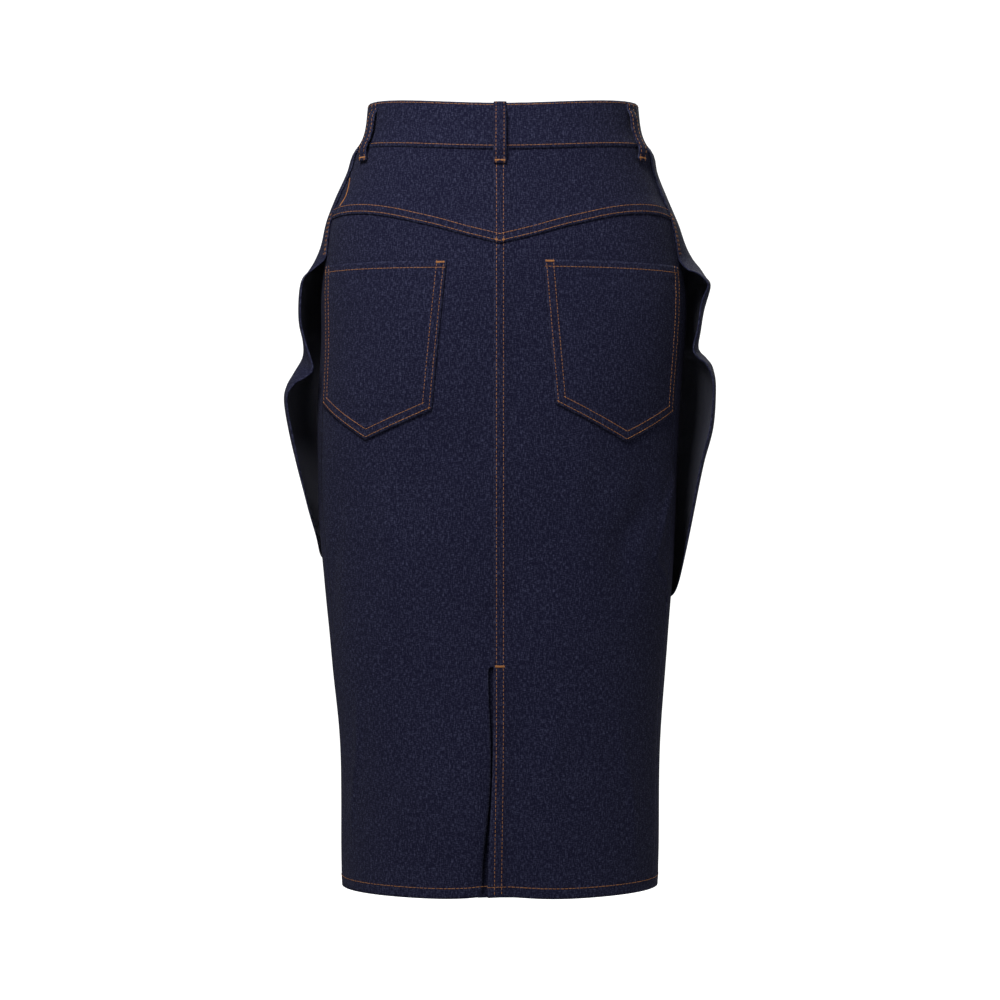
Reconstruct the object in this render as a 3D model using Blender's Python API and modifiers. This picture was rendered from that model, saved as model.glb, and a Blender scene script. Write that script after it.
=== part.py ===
"""Denim pencil skirt with a cascading drape at each hip, made of the pieces a maker cuts and sews.

Metres, +Z up. The skirt's back faces -Y and +X is the wearer's right. The origin is the middle
of the waist opening, half-way up the waistband. Each cloth piece is an open sheet of points laid
on one body surface, given its wall by a Solidify modifier that grows outwards. Round the body,
"turn" runs from 0 at the centre back to 1 at the centre front, by cloth length; it is negative
on the wearer's left.
"""
from math import cos, hypot, pi, sin

import bpy
import numpy as np

# Cloth and seams
DENIM = 0.0012                  # one layer of denim
BAND = 0.0024                   # waistband, two layers
SEAM_GAP = 0.0004               # clearance between pieces that are sewn together
LAY_GAP = 0.0006                # clearance under a piece laid on a curved panel

# Levels and seam lines
HEM = -0.7180
BAND_HEIGHT = 0.0425
SEAM_AT_BACK = -0.0255          # waist seam at the centre back
SEAM_AT_FRONT = -0.0290         # waist seam at the centre front
SIDE_RISE = 0.0105              # how much higher the waist is at the sides than at the back
SIDE_SEAM = 0.425               # turn of the side seams
LAP = 0.0060                    # folded edge of the lapped centre seams, from the centre
VENT_TOP = -0.5055
VENT_DRIFT = 0.0050             # how far the vent's edge swings over at the hem
VENT_LIFT = 0.0028              # how far the upper edge stands up at the hem
VENT_SINK = 0.0045              # how far the lower edge sinks in at the hem
VENT_REACH = 0.022              # width over which the vent's edges leave the body
UNDERLAP = (-0.016, 0.030)      # vent underlap, from and to, beside the centre back

# Body under the cloth, from the waist's top edge to the hem, a row for each level:
# height, half width, depth to the back, depth to the front, sideways shift
BODY = (
    (0.030, 0.1270, 0.0860, 0.0840, 0.0030),
    (-0.008, 0.1345, 0.0910, 0.0880, 0.0030),
    (-0.020, 0.1420, 0.0945, 0.0910, 0.0030),
    (-0.036, 0.1460, 0.0970, 0.0930, 0.0020),
    (-0.062, 0.1566, 0.1015, 0.0970, 0.0010),
    (-0.084, 0.1650, 0.1055, 0.0995, 0.0012),
    (-0.118, 0.1705, 0.1110, 0.1025, 0.0024),
    (-0.150, 0.1745, 0.1145, 0.1035, 0.0034),
    (-0.200, 0.1742, 0.1165, 0.1030, 0.0030),
    (-0.255, 0.1736, 0.1150, 0.1020, -0.0010),
    (-0.310, 0.1722, 0.1120, 0.1020, -0.0025),
    (-0.370, 0.1707, 0.1085, 0.1020, -0.0028),
    (-0.425, 0.1669, 0.1063, 0.1020, -0.0018),
    (-0.512, 0.1592, 0.1045, 0.1015, -0.0010),
    (-0.570, 0.1542, 0.1040, 0.1005, 0.0000),
    (-0.640, 0.1513, 0.1035, 0.0995, 0.0000),
    (-0.720, 0.1502, 0.1030, 0.0990, 0.0000),
)
FULLNESS = 2.2                  # exponent of the rounded body section; 2 is an ellipse

# Back yoke seam: cloth distance from the centre back, height
YOKE_SEAM = (
    (0.000, -0.1160), (0.035, -0.1070), (0.055, -0.1010), (0.080, -0.0945),
    (0.105, -0.0885), (0.130, -0.0845), (0.160, -0.0830), (0.200, -0.0860),
)

# Patch pocket corners: cloth distance from the centre back, height
POCKETS = {
    "left": {"inner_top": (0.049, -0.132), "outer_top": (0.190, -0.130),
             "outer_bottom": (0.188, -0.261), "tip": (0.128, -0.296),
             "inner_bottom": (0.063, -0.269)},
    "right": {"inner_top": (0.040, -0.131), "outer_top": (0.190, -0.131),
              "outer_bottom": (0.185, -0.269), "tip": (0.121, -0.298),
              "inner_bottom": (0.051, -0.263)},
}

# Hip drapes: a row for each station down the drape. Its front seam's height; then the places, to
# the side (x), to the front (y) and in height, of the line that stands furthest out and of the
# back edge, which is free below the side seam. Each lobe is where x grows and falls again. The
# places are on the drape's outer face.
DRAPES = {
    "left": (
        (-0.070, 0.1652, 0.012, -0.0780, 0.1592, -0.0330, -0.0800),
        (-0.094, 0.1722, 0.010, -0.1020, 0.1628, -0.0335, -0.1040),
        (-0.114, 0.1790, 0.006, -0.1200, 0.1668, -0.0340, -0.1215),
        (-0.130, 0.1855, -0.002, -0.1340, 0.1770, -0.0400, -0.1318),
        (-0.143, 0.1900, -0.006, -0.1450, 0.1866, -0.0440, -0.1420),
        (-0.160, 0.1925, -0.010, -0.1640, 0.1892, -0.0460, -0.1650),
        (-0.174, 0.1918, -0.010, -0.1830, 0.1888, -0.0460, -0.1850),
        (-0.187, 0.1880, -0.004, -0.1990, 0.1842, -0.0480, -0.2040),
        (-0.198, 0.1905, 0.004, -0.2130, 0.1770, -0.0510, -0.2270),
        (-0.208, 0.1985, 0.002, -0.2280, 0.1835, -0.0500, -0.2350),
        (-0.219, 0.2045, -0.004, -0.2410, 0.1950, -0.0480, -0.2420),
        (-0.234, 0.2062, -0.010, -0.2560, 0.2022, -0.0460, -0.2560),
        (-0.260, 0.2020, -0.010, -0.2850, 0.1975, -0.0430, -0.2890),
        (-0.290, 0.1945, -0.006, -0.3170, 0.1908, -0.0380, -0.3230),
        (-0.320, 0.1860, 0.000, -0.3480, 0.1835, -0.0290, -0.3580),
        (-0.350, 0.1790, 0.012, -0.3760, 0.1765, -0.0120, -0.3880),
        (-0.375, 0.1690, 0.034, -0.3960, 0.1730, 0.0155, -0.4080),
        (-0.395, 0.1450, 0.064, -0.4100, 0.1460, 0.0620, -0.4180),
    ),
    "right": (
        (-0.070, 0.1690, 0.012, -0.0780, 0.1612, -0.0330, -0.0800),
        (-0.094, 0.1785, 0.010, -0.1020, 0.1668, -0.0340, -0.1040),
        (-0.112, 0.1860, 0.004, -0.1180, 0.1700, -0.0350, -0.1215),
        (-0.124, 0.1935, -0.002, -0.1290, 0.1775, -0.0410, -0.1320),
        (-0.136, 0.1985, -0.006, -0.1390, 0.1880, -0.0450, -0.1370),
        (-0.150, 0.2012, -0.010, -0.1470, 0.1975, -0.0460, -0.1480),
        (-0.168, 0.1958, -0.010, -0.1700, 0.1915, -0.0460, -0.1640),
        (-0.184, 0.1920, -0.006, -0.1900, 0.1875, -0.0470, -0.1900),
        (-0.198, 0.1900, 0.002, -0.2050, 0.1830, -0.0500, -0.2085),
        (-0.207, 0.1985, 0.000, -0.2150, 0.1875, -0.0500, -0.2170),
        (-0.219, 0.2040, -0.004, -0.2250, 0.1960, -0.0480, -0.2240),
        (-0.236, 0.2060, -0.010, -0.2450, 0.2025, -0.0460, -0.2430),
        (-0.262, 0.2040, -0.012, -0.2810, 0.2000, -0.0440, -0.2810),
        (-0.292, 0.1950, -0.010, -0.3170, 0.1915, -0.0400, -0.3170),
        (-0.326, 0.1870, -0.004, -0.3580, 0.1835, -0.0320, -0.3620),
        (-0.362, 0.1790, 0.010, -0.3980, 0.1765, -0.0180, -0.4080),
        (-0.396, 0.1680, 0.034, -0.4300, 0.1695, 0.0120, -0.4420),
        (-0.422, 0.1430, 0.062, -0.4460, 0.1435, 0.0600, -0.4540),
    ),
}
DRAPE_ACROSS = (0.0, 0.62, 1.0)  # shares of the cloth's width at the front, side and edge
DRAPE_INNER = 0.0010            # how far in from those places the sheet's own points lie
DRAPE_FRONT = 0.690             # turn of the drape's front seam
DRAPE_OUT = DENIM + 0.0009      # the drape's inner face, above the body surface, where it is sewn

# Belt loops: turn at the top and at the bottom of each
LOOPS = {
    "belt_loop_back": (0.000, 0.000),
    "belt_loop_side_left": (-0.390, -0.365),
    "belt_loop_side_right": (0.390, 0.370),
    "belt_loop_front_left": (-0.780, -0.785),
    "belt_loop_front_right": (0.780, 0.785),
}
LOOP_WIDTH = 0.0120
LOOP_CLOTH = 0.0018
LOOP_RISE = 0.0048              # room for a belt between loop and waistband
LOOP_BELOW = 0.0150             # how far a loop reaches below the waist seam

# Front closure
FLY_LENGTH = 0.165
ZIP_HALF_WIDTH = 0.0140
ZIP_TAPE = 0.0010
SLIDER = (0.0085, 0.0034, 0.0130)   # width, depth, length
BUTTON_RADIUS = 0.0085
BAND_UNDERLAP = 0.034           # waistband end under the button, past the centre front


def value_at(rows, places, where):
    """Smooth value at a place, through rows that belong to rising places."""
    slopes = np.gradient(rows, places, axis=0)
    index = int(np.clip(np.searchsorted(places, where) - 1, 0, len(places) - 2))
    span = places[index + 1] - places[index]
    share = np.clip((where - places[index]) / span, 0.0, 1.0)
    rise = share * share * (3.0 - 2.0 * share)
    leave = share * (1.0 - share) ** 2
    arrive = -share * share * (1.0 - share)
    return (rows[index] * (1.0 - rise) + rows[index + 1] * rise
            + span * (slopes[index] * leave + slopes[index + 1] * arrive))


BODY_LEVELS = np.array([row[0] for row in BODY])[::-1]
BODY_SIZES = np.array([row[1:] for row in BODY])[::-1]
YOKE_PLACES = np.array([row[0] for row in YOKE_SEAM])
YOKE_HEIGHTS = np.array([row[1] for row in YOKE_SEAM])
ANGLES = np.linspace(0.0, pi, 181)
NEAR_STEPS = 2001               # places tried round half the body for its nearest point
NORMAL_STEP = 0.004             # share of half the girth over which a normal is taken

# How the panels' points are spread
GRID_START = -0.10              # level from which a panel's rows are first worked out
YOKE_START = -0.06
SETTLE = 4                      # rounds in which a row's level and seams settle
YOKE_SETTLE = 6
BACK_CROWDING = 1.3             # rows crowd towards the top, where the body curves most
FRONT_CROWDING = 1.5
CENTRE_CROWDING = 1.15          # columns crowd towards the centre back
LAP_FROM, LAP_FULL = 0.058, 0.040   # where the band's left end starts to rise, and has risen


def half_ring(height, side):
    """Half of the body section at a height, from centre back to centre front on one side."""
    half_width, back, front, shift = value_at(BODY_SIZES, BODY_LEVELS, height)
    across = np.sin(ANGLES) ** (2.0 / FULLNESS)
    along = np.sign(np.cos(ANGLES)) * np.abs(np.cos(ANGLES)) ** (2.0 / FULLNESS)
    x = side * half_width * across + shift * np.sin(ANGLES) ** 2
    y = np.where(along > 0.0, -back * along, -front * along)
    length = np.concatenate(([0.0], np.cumsum(np.hypot(np.diff(x), np.diff(y)))))
    return x, y, length


def half_girth(height, side):
    """Cloth length from centre back to centre front at a height."""
    return half_ring(height, side)[2][-1]


def on_body(turn, height, out=0.0):
    """Point at a turn and height, moved out from the body surface."""
    side = 1.0 if turn >= 0.0 else -1.0
    place = abs(turn)
    if place > 1.0:
        side, place = -side, 2.0 - place
    x, y, length = half_ring(height, side)
    reach = place * length[-1]
    point = np.array((np.interp(reach, length, x), np.interp(reach, length, y), height))
    if out == 0.0:
        return point
    step = NORMAL_STEP * length[-1]
    ahead = np.array((np.interp(reach + step, length, x), np.interp(reach + step, length, y)))
    behind = np.array((np.interp(reach - step, length, x), np.interp(reach - step, length, y)))
    run = (ahead - behind) * side
    if place * length[-1] < step or place * length[-1] > length[-1] - step:
        run = np.array((1.0 if place < 0.5 else -1.0, 0.0))
    normal = np.array((run[1], -run[0]))
    normal /= np.linalg.norm(normal)
    return point + out * np.array((normal[0], normal[1], 0.0))


def on_cloth(distance, height, out=0.0):
    """Point at a cloth distance from the centre back, positive to the wearer's right."""
    side = 1.0 if distance >= 0.0 else -1.0
    return on_body(distance / half_girth(height, side), height, out)


def beside_body(x, y, height, side):
    """Turn of the body point nearest to a place at a height, and how far out the place stands."""
    ring_x, ring_y, length = half_ring(height, side)
    reach = np.linspace(0.0, length[-1], NEAR_STEPS)
    near_x = np.interp(reach, length, side * ring_x)
    near_y = np.interp(reach, length, ring_y)
    away = np.hypot(near_x - x, near_y - y)
    nearest = int(away.argmin())
    outside = hypot(x, y) > hypot(near_x[nearest], near_y[nearest])
    return reach[nearest] / length[-1], away[nearest] if outside else -away[nearest]


def waist_seam(turn):
    """Height of the seam between waistband and skirt."""
    place = abs(turn) if abs(turn) <= 1.0 else 2.0 - abs(turn)
    rise = sin(pi * place) ** 2
    low = SEAM_AT_BACK if place < 0.5 else SEAM_AT_FRONT
    return low + (SEAM_AT_BACK + SIDE_RISE - low) * rise


def yoke_seam(distance):
    """Height of the V-shaped seam under the back yoke."""
    return float(value_at(YOKE_HEIGHTS, YOKE_PLACES, min(abs(distance), YOKE_PLACES[-1])))


def ease(share):
    """Smooth step from 0 to 1."""
    share = min(max(share, 0.0), 1.0)
    return share * share * (3.0 - 2.0 * share)


def material(name, colour, roughness, metallic=0.0):
    """Principled material of a plain colour."""
    made = bpy.data.materials.new(name)
    made.use_nodes = True
    shader = made.node_tree.nodes["Principled BSDF"]
    shader.inputs["Base Color"].default_value = (*colour, 1.0)
    shader.inputs["Roughness"].default_value = roughness
    shader.inputs["Metallic"].default_value = metallic
    return made


def add_object(name, mesh, finish):
    """Object of a mesh, in the skirt's collection."""
    mesh.materials.append(finish)
    made = bpy.data.objects.new(name, mesh)
    bpy.data.collections["denim_skirt"].objects.link(made)
    return made


def add_sheet(name, grid, thickness, finish):
    """Cloth piece from rows of points: rows go down, columns go to +turn, the wall grows out."""
    rows, columns = len(grid), len(grid[0])
    points = [tuple(point) for row in grid for point in row]
    faces = []
    for row in range(rows - 1):
        for column in range(columns - 1):
            corner = row * columns + column
            faces.append((corner, corner + columns, corner + columns + 1, corner + 1))
    mesh = bpy.data.meshes.new(name)
    mesh.from_pydata(points, [], faces)
    mesh.update()
    made = add_object(name, mesh, finish)
    wall = made.modifiers.new("wall", "SOLIDIFY")
    wall.thickness = thickness
    wall.offset = 1.0
    return made


def spread(start, end, count):
    """Evenly spaced numbers, as floats."""
    return [start + (end - start) * step / (count - 1) for step in range(count)]


def vent_share(height):
    """0 at the top of the vent, 1 at the hem."""
    return ease((VENT_TOP - height) / (VENT_TOP - HEM))


def centre_back_edge(height):
    """Cloth distance of the lapped edge down the centre back."""
    return -LAP - VENT_DRIFT * vent_share(height) ** 2


def vent_out(distance, height, side):
    """How far the cloth beside the vent stands off the body: up on the right, in on the left."""
    reach = abs(distance - centre_back_edge(height))
    fade = ease(1.0 - reach / VENT_REACH)
    return fade * vent_share(height) * (VENT_LIFT if side > 0.0 else -VENT_SINK)


def back_panel(side_name, side, finish):
    """Back panel from the yoke seam to the hem, between the centre back and the side seam."""
    grid = []
    for down in (share ** BACK_CROWDING for share in spread(0.0, 1.0, 16)):
        row = []
        for across in spread(0.0, 1.0, 13):
            level = GRID_START + (HEM - GRID_START) * down
            for _ in range(SETTLE):
                inner = centre_back_edge(level) + side * SEAM_GAP / 2
                outer = side * (SIDE_SEAM * half_girth(level, side) - SEAM_GAP / 2)
                distance = inner + (outer - inner) * across ** CENTRE_CROWDING
                top = yoke_seam(distance) - SEAM_GAP / 2
                level = top + (HEM - top) * down
            row.append(on_cloth(distance, level, vent_out(distance, level, side)))
        grid.append(row if side > 0.0 else row[::-1])
    return add_sheet(f"back_panel_{side_name}", grid, DENIM, finish)


def vent_underlap(finish):
    """Strip inside the vent that carries on from the left panel, behind the right one."""
    grid = []
    for height in spread(VENT_TOP + 0.012, HEM + 0.001, 8):
        edge = centre_back_edge(height)
        row = []
        for distance in spread(edge + UNDERLAP[0] + LAP, edge + UNDERLAP[1], 6):
            sink = vent_out(min(distance, edge), height, -1.0)
            row.append(on_cloth(distance, height, sink - DENIM - SEAM_GAP))
        grid.append(row)
    return add_sheet("vent_underlap", grid, DENIM, finish)


def back_yoke(side_name, side, finish):
    """Back yoke between the waist seam and the V-shaped seam."""
    grid = []
    for down in spread(0.0, 1.0, 6):
        row = []
        for across in spread(0.0, 1.0, 13):
            level = YOKE_START
            for _ in range(YOKE_SETTLE):
                inner = -LAP + side * SEAM_GAP / 2
                outer = side * (SIDE_SEAM * half_girth(level, side) - SEAM_GAP / 2)
                distance = inner + (outer - inner) * across ** CENTRE_CROWDING
                top = waist_seam(distance / half_girth(level, side)) - SEAM_GAP / 2
                bottom = yoke_seam(distance) + SEAM_GAP / 2
                level = top + (bottom - top) * down
            row.append(on_cloth(distance, level))
        grid.append(row if side > 0.0 else row[::-1])
    return add_sheet(f"back_yoke_{side_name}", grid, DENIM, finish)


def front_panel(side_name, side, finish):
    """Front panel from the waist seam to the hem, between the side seam and the centre front."""
    grid = []
    for down in (share ** FRONT_CROWDING for share in spread(0.0, 1.0, 17)):
        row = []
        for across in spread(0.0, 1.0, 13):
            level = GRID_START + (HEM - GRID_START) * down
            for _ in range(SETTLE):
                girth = half_girth(level, side)
                outer = SIDE_SEAM * girth + SEAM_GAP / 2
                inner = girth - side * LAP - SEAM_GAP / 2
                turn = (outer + (inner - outer) * across) / girth
                top = waist_seam(turn) - SEAM_GAP / 2
                level = top + (HEM - top) * down
            row.append(on_body(side * turn, level))
        grid.append(row if side > 0.0 else row[::-1])
    return add_sheet(f"front_panel_{side_name}", grid, DENIM, finish)


def waistband(finish):
    """Two-layer band, open at the centre front, where its left end laps over the right one."""
    girth = half_girth(0.0, 1.0)
    over_from, over_full = 1.0 - LAP_FROM / girth, 1.0 - LAP_FULL / girth
    columns = spread(-1.0 - LAP / girth, 1.0 + BAND_UNDERLAP / girth, 61)
    grid = []
    for up in (1.0, 0.5, 0.0):
        row = []
        for turn in columns:
            lap = ease((-turn - over_from) / (over_full - over_from))
            height = waist_seam(turn) + SEAM_GAP / 2 + BAND_HEIGHT * up
            row.append(on_body(turn, height, lap * (BAND + SEAM_GAP)))
        grid.append(row)
    return add_sheet("waistband", grid, BAND, finish)


def pocket(side_name, side, finish):
    """Pointed patch pocket, made from the back panel's surface and moved out."""
    corner = POCKETS[side_name]
    tip_share = ((corner["tip"][0] - corner["inner_bottom"][0])
                 / (corner["outer_bottom"][0] - corner["inner_bottom"][0]))
    shares = spread(0.0, tip_share, 6) + spread(tip_share, 1.0, 6)[1:]
    grid = []
    for down in spread(0.0, 1.0, 7):
        row = []
        for share in shares:
            if share <= tip_share:
                start, end, part = "inner_bottom", "tip", share / tip_share
            else:
                start, end = "tip", "outer_bottom"
                part = (share - tip_share) / (1.0 - tip_share)
            low = np.array(corner[start]) * (1.0 - part) + np.array(corner[end]) * part
            top = np.array(corner["inner_top"]) * (1.0 - share) + np.array(corner["outer_top"]) * share
            distance, height = top * (1.0 - down) + low * down
            row.append(on_cloth(side * distance, height, DENIM + LAY_GAP))
        grid.append(row if side > 0.0 else row[::-1])
    return add_sheet(f"back_pocket_{side_name}", grid, DENIM, finish)


def drape_station(row, side):
    """A station's front height, then turn, stand-off and height of its side line and back edge."""
    front_z, side_x, side_y, side_z, edge_x, edge_y, edge_z = row
    side_turn, side_out = beside_body(side_x, side_y, side_z, side)
    edge_turn, edge_out = beside_body(edge_x, edge_y, edge_z, side)
    return (front_z, side_turn, side_out - DRAPE_INNER, side_z,
            edge_turn, edge_out - DRAPE_INNER, edge_z)


def hip_drape(side_name, side, finish):
    """Draped panel over the hip: sewn at the front and the upper side seam, free below."""
    table = np.array([drape_station(row, side) for row in DRAPES[side_name]])
    stations = np.arange(len(table), dtype=float)
    places = np.array(DRAPE_ACROSS)
    grid = [drape_top_row(side)]
    for station in spread(0.0, stations[-1], 32):
        front_z, *others = value_at(table, stations, station)
        guides = np.array(((DRAPE_FRONT, DRAPE_OUT, front_z), others[:3], others[3:]))
        row = []
        for across in spread(1.0, 0.0, 12):
            turn, out, height = value_at(guides, places, across)
            row.append(on_body(side * turn, height, max(out, DRAPE_OUT)))
        grid.append(row)
    if side < 0.0:
        grid = [row[::-1] for row in grid]
    return add_sheet(f"hip_drape_{side_name}", grid, DENIM, finish)


def drape_top_row(side):
    """The drape's top edge, along the waist seam on the front panel."""
    row = []
    for turn in spread(SIDE_SEAM + 0.002, DRAPE_FRONT, 12):
        row.append(on_body(side * turn, waist_seam(turn) - SEAM_GAP / 2, DRAPE_OUT))
    return row


def belt_loop(name, turns, finish):
    """Strip that stands off the waistband, with both ends sewn down."""
    seam = waist_seam(turns[0])
    top = seam + BAND_HEIGHT - 0.0005
    bottom = seam - LOOP_BELOW
    on_band, on_skirt = BAND + LAY_GAP, DENIM + LAY_GAP
    if abs(turns[0]) > SIDE_SEAM:
        on_skirt += DENIM + LAY_GAP
    path = (
        (top, on_band), (top - 0.005, on_band), (top - 0.009, on_band + 0.6 * LOOP_RISE),
        (top - 0.014, on_band + LOOP_RISE), (seam + 0.010, on_band + LOOP_RISE),
        (seam - 0.002, on_band + 0.9 * LOOP_RISE), (seam - 0.008, on_skirt + 0.3 * LOOP_RISE),
        (seam - 0.0105, on_skirt + 0.0002), (bottom, on_skirt + 0.0002),
    )
    grid = []
    for height, out in path:
        share = (top - height) / (top - bottom)
        middle = turns[0] + (turns[1] - turns[0]) * share
        half = LOOP_WIDTH / 2 / half_girth(height, 1.0)
        grid.append([on_body(middle + half * step, height, out) for step in (-1.0, 0.0, 1.0)])
    return add_sheet(name, grid, LOOP_CLOTH, finish)


def fly_zip(finish):
    """Zip tape behind the fly, bowed in so that its slider has room."""
    girth = half_girth(SEAM_AT_FRONT, 1.0)
    grid = []
    for height in spread(SEAM_AT_FRONT - 0.002, SEAM_AT_FRONT - FLY_LENGTH, 9):
        row = []
        for across in (-1.0, -0.55, -0.35, 0.35, 0.55, 1.0):
            bow = SLIDER[1] + SEAM_GAP if abs(across) < 0.5 else 0.0
            out = -ZIP_TAPE - LAY_GAP - bow
            row.append(on_body(1.0 + across * ZIP_HALF_WIDTH / girth, height, out))
        grid.append(row)
    return add_sheet("fly_zip", grid, ZIP_TAPE, finish)


def zip_slider(finish):
    """Slider at the top of the closed zip, its pull laid flat along it."""
    width, depth, length = SLIDER
    height = SEAM_AT_FRONT - 0.012
    bpy.ops.mesh.primitive_cube_add(size=1.0)
    made = bpy.context.object
    made.name = made.data.name = "zip_slider"
    made.data.materials.append(finish)
    place = on_body(1.0, height, -SEAM_GAP - depth / 2)
    slope = (on_body(1.0, height + length)[1] - on_body(1.0, height - length)[1]) / (2 * length)
    for point in made.data.vertices:
        across, deep, up = point.co
        point.co = (across * width, deep * (depth - SEAM_GAP) + slope * up * length, up * length)
    made.location = place
    bevel = made.modifiers.new("worn_edges", "BEVEL")
    bevel.width = 0.0008
    bevel.segments = 1
    for owner in made.users_collection:
        owner.objects.unlink(made)
    bpy.data.collections["denim_skirt"].objects.link(made)
    return made


def waist_button(finish):
    """Shank button on the waistband's overlap: a turned profile, screwed round its own axis."""
    profile = ((0.0, 0.0), (0.60, 0.0), (0.92, 0.06), (1.0, 0.14), (1.0, 0.22), (0.90, 0.30),
               (0.72, 0.27), (0.35, 0.33), (0.0, 0.36))
    points = [(BUTTON_RADIUS * radius, 0.0, BUTTON_RADIUS * rise) for radius, rise in profile]
    edges = [(index, index + 1) for index in range(len(points) - 1)]
    mesh = bpy.data.meshes.new("waist_button")
    mesh.from_pydata(points[::-1], edges, [])
    made = add_object("waist_button", mesh, finish)
    turned = made.modifiers.new("turned", "SCREW")
    turned.steps = 20
    turned.render_steps = 20
    turned.use_merge_vertices = True
    turned.merge_threshold = 0.00005
    seam = waist_seam(1.0)
    low = on_body(1.0, seam, 0.0)
    high = on_body(1.0, seam + BAND_HEIGHT, 0.0)
    lean = np.arctan2(low[1] - high[1], BAND_HEIGHT)
    made.rotation_euler = (-pi / 2 + lean, 0.0, 0.0)
    out = 2 * BAND + 3 * SEAM_GAP
    made.location = on_body(1.0, seam + BAND_HEIGHT / 2, 0.0) + out * np.array((0.0, cos(lean), sin(lean)))
    return made


def main():
    for old in list(bpy.data.objects):
        bpy.data.objects.remove(old, do_unlink=True)
    skirt = bpy.data.collections.new("denim_skirt")
    bpy.context.scene.collection.children.link(skirt)
    denim = material("denim", (0.016, 0.016, 0.043), 0.9)
    band_denim = material("band_denim", (0.018, 0.019, 0.047), 0.9)
    patch_denim = material("patch_denim", (0.020, 0.020, 0.052), 0.9)
    tape = material("zip_tape", (0.02, 0.02, 0.045), 0.85)
    metal = material("copper", (0.60, 0.32, 0.16), 0.35, 1.0)
    waistband(band_denim)
    for side_name, side in (("left", -1.0), ("right", 1.0)):
        back_yoke(side_name, side, patch_denim)
        back_panel(side_name, side, denim)
        front_panel(side_name, side, denim)
        hip_drape(side_name, side, band_denim)
        pocket(side_name, side, patch_denim)
    vent_underlap(denim)
    for name, turns in LOOPS.items():
        belt_loop(name, turns, band_denim)
    fly_zip(tape)
    zip_slider(metal)
    waist_button(metal)


main()
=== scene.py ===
"""Looks of a dark denim pencil skirt with a cascading drape at each hip, built round its CAD frame.

Metres, +Z up. The back faces -Y and +X is the wearer's right. Every cloth piece is a thin shell
over one body surface. Its points are given by a turn round the body (0 at the centre back, 1 at
the centre front, negative on the wearer's left), a height, and how far its face stands out.
"""
from math import pi

import bpy
import numpy as np
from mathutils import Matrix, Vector


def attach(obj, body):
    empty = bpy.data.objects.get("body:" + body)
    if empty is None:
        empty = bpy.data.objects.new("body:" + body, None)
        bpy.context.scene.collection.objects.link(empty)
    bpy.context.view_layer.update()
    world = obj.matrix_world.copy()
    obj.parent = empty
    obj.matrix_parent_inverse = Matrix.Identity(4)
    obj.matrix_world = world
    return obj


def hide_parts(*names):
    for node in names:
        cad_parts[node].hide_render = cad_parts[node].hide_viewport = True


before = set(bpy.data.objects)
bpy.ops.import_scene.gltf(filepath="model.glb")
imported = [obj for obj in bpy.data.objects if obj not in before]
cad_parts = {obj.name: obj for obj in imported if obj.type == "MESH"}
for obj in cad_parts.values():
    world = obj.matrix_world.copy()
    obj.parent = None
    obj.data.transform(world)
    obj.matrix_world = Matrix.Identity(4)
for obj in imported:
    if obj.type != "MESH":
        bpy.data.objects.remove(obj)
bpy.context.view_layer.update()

bl_info = {
    "name": "Denim Skirt",
    "version": (1, 0, 0),
    "blender": (4, 5, 0),
    "location": "3D View > Sidebar > Skirt",
    "description": "Builds a draped denim skirt, stitch by stitch, on its CAD frame",
    "category": "Object",
}

SIDES = (("left", -1.0), ("right", 1.0))   # the wearer's, and the sign of their turns

# Sizes shared with the frame's own source
# Cloth and seams
DENIM = 0.0012                  # one layer of denim
BAND = 0.0024                   # waistband, two layers
SEAM_GAP = 0.0004               # clearance between pieces that are sewn together
LAY_GAP = 0.0006                # clearance under a piece laid on a curved panel

# Levels and seam lines
HEM = -0.7180
BAND_HEIGHT = 0.0425
SEAM_AT_BACK = -0.0255          # waist seam at the centre back
SEAM_AT_FRONT = -0.0290         # waist seam at the centre front
SIDE_RISE = 0.0105              # how much higher the waist is at the sides than at the back
SIDE_SEAM = 0.425               # turn of the side seams
LAP = 0.0060                    # folded edge of the lapped centre seams, from the centre
VENT_TOP = -0.5055
VENT_DRIFT = 0.0050             # how far the vent's edge swings over at the hem
VENT_LIFT = 0.0028              # how far the upper edge stands up at the hem
VENT_SINK = 0.0045              # how far the lower edge sinks in at the hem
VENT_REACH = 0.022              # width over which the vent's edges leave the body
UNDERLAP = (-0.016, 0.030)      # vent underlap, from and to, beside the centre back

# Body under the cloth, from the waist's top edge to the hem, a row for each level:
# height, half width, depth to the back, depth to the front, sideways shift
BODY = (
    (0.030, 0.1270, 0.0860, 0.0840, 0.0030),
    (-0.008, 0.1345, 0.0910, 0.0880, 0.0030),
    (-0.020, 0.1420, 0.0945, 0.0910, 0.0030),
    (-0.036, 0.1460, 0.0970, 0.0930, 0.0020),
    (-0.062, 0.1566, 0.1015, 0.0970, 0.0010),
    (-0.084, 0.1650, 0.1055, 0.0995, 0.0012),
    (-0.118, 0.1705, 0.1110, 0.1025, 0.0024),
    (-0.150, 0.1745, 0.1145, 0.1035, 0.0034),
    (-0.200, 0.1742, 0.1165, 0.1030, 0.0030),
    (-0.255, 0.1736, 0.1150, 0.1020, -0.0010),
    (-0.310, 0.1722, 0.1120, 0.1020, -0.0025),
    (-0.370, 0.1707, 0.1085, 0.1020, -0.0028),
    (-0.425, 0.1669, 0.1063, 0.1020, -0.0018),
    (-0.512, 0.1592, 0.1045, 0.1015, -0.0010),
    (-0.570, 0.1542, 0.1040, 0.1005, 0.0000),
    (-0.640, 0.1513, 0.1035, 0.0995, 0.0000),
    (-0.720, 0.1502, 0.1030, 0.0990, 0.0000),
)
FULLNESS = 2.2                  # exponent of the rounded body section; 2 is an ellipse

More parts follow.
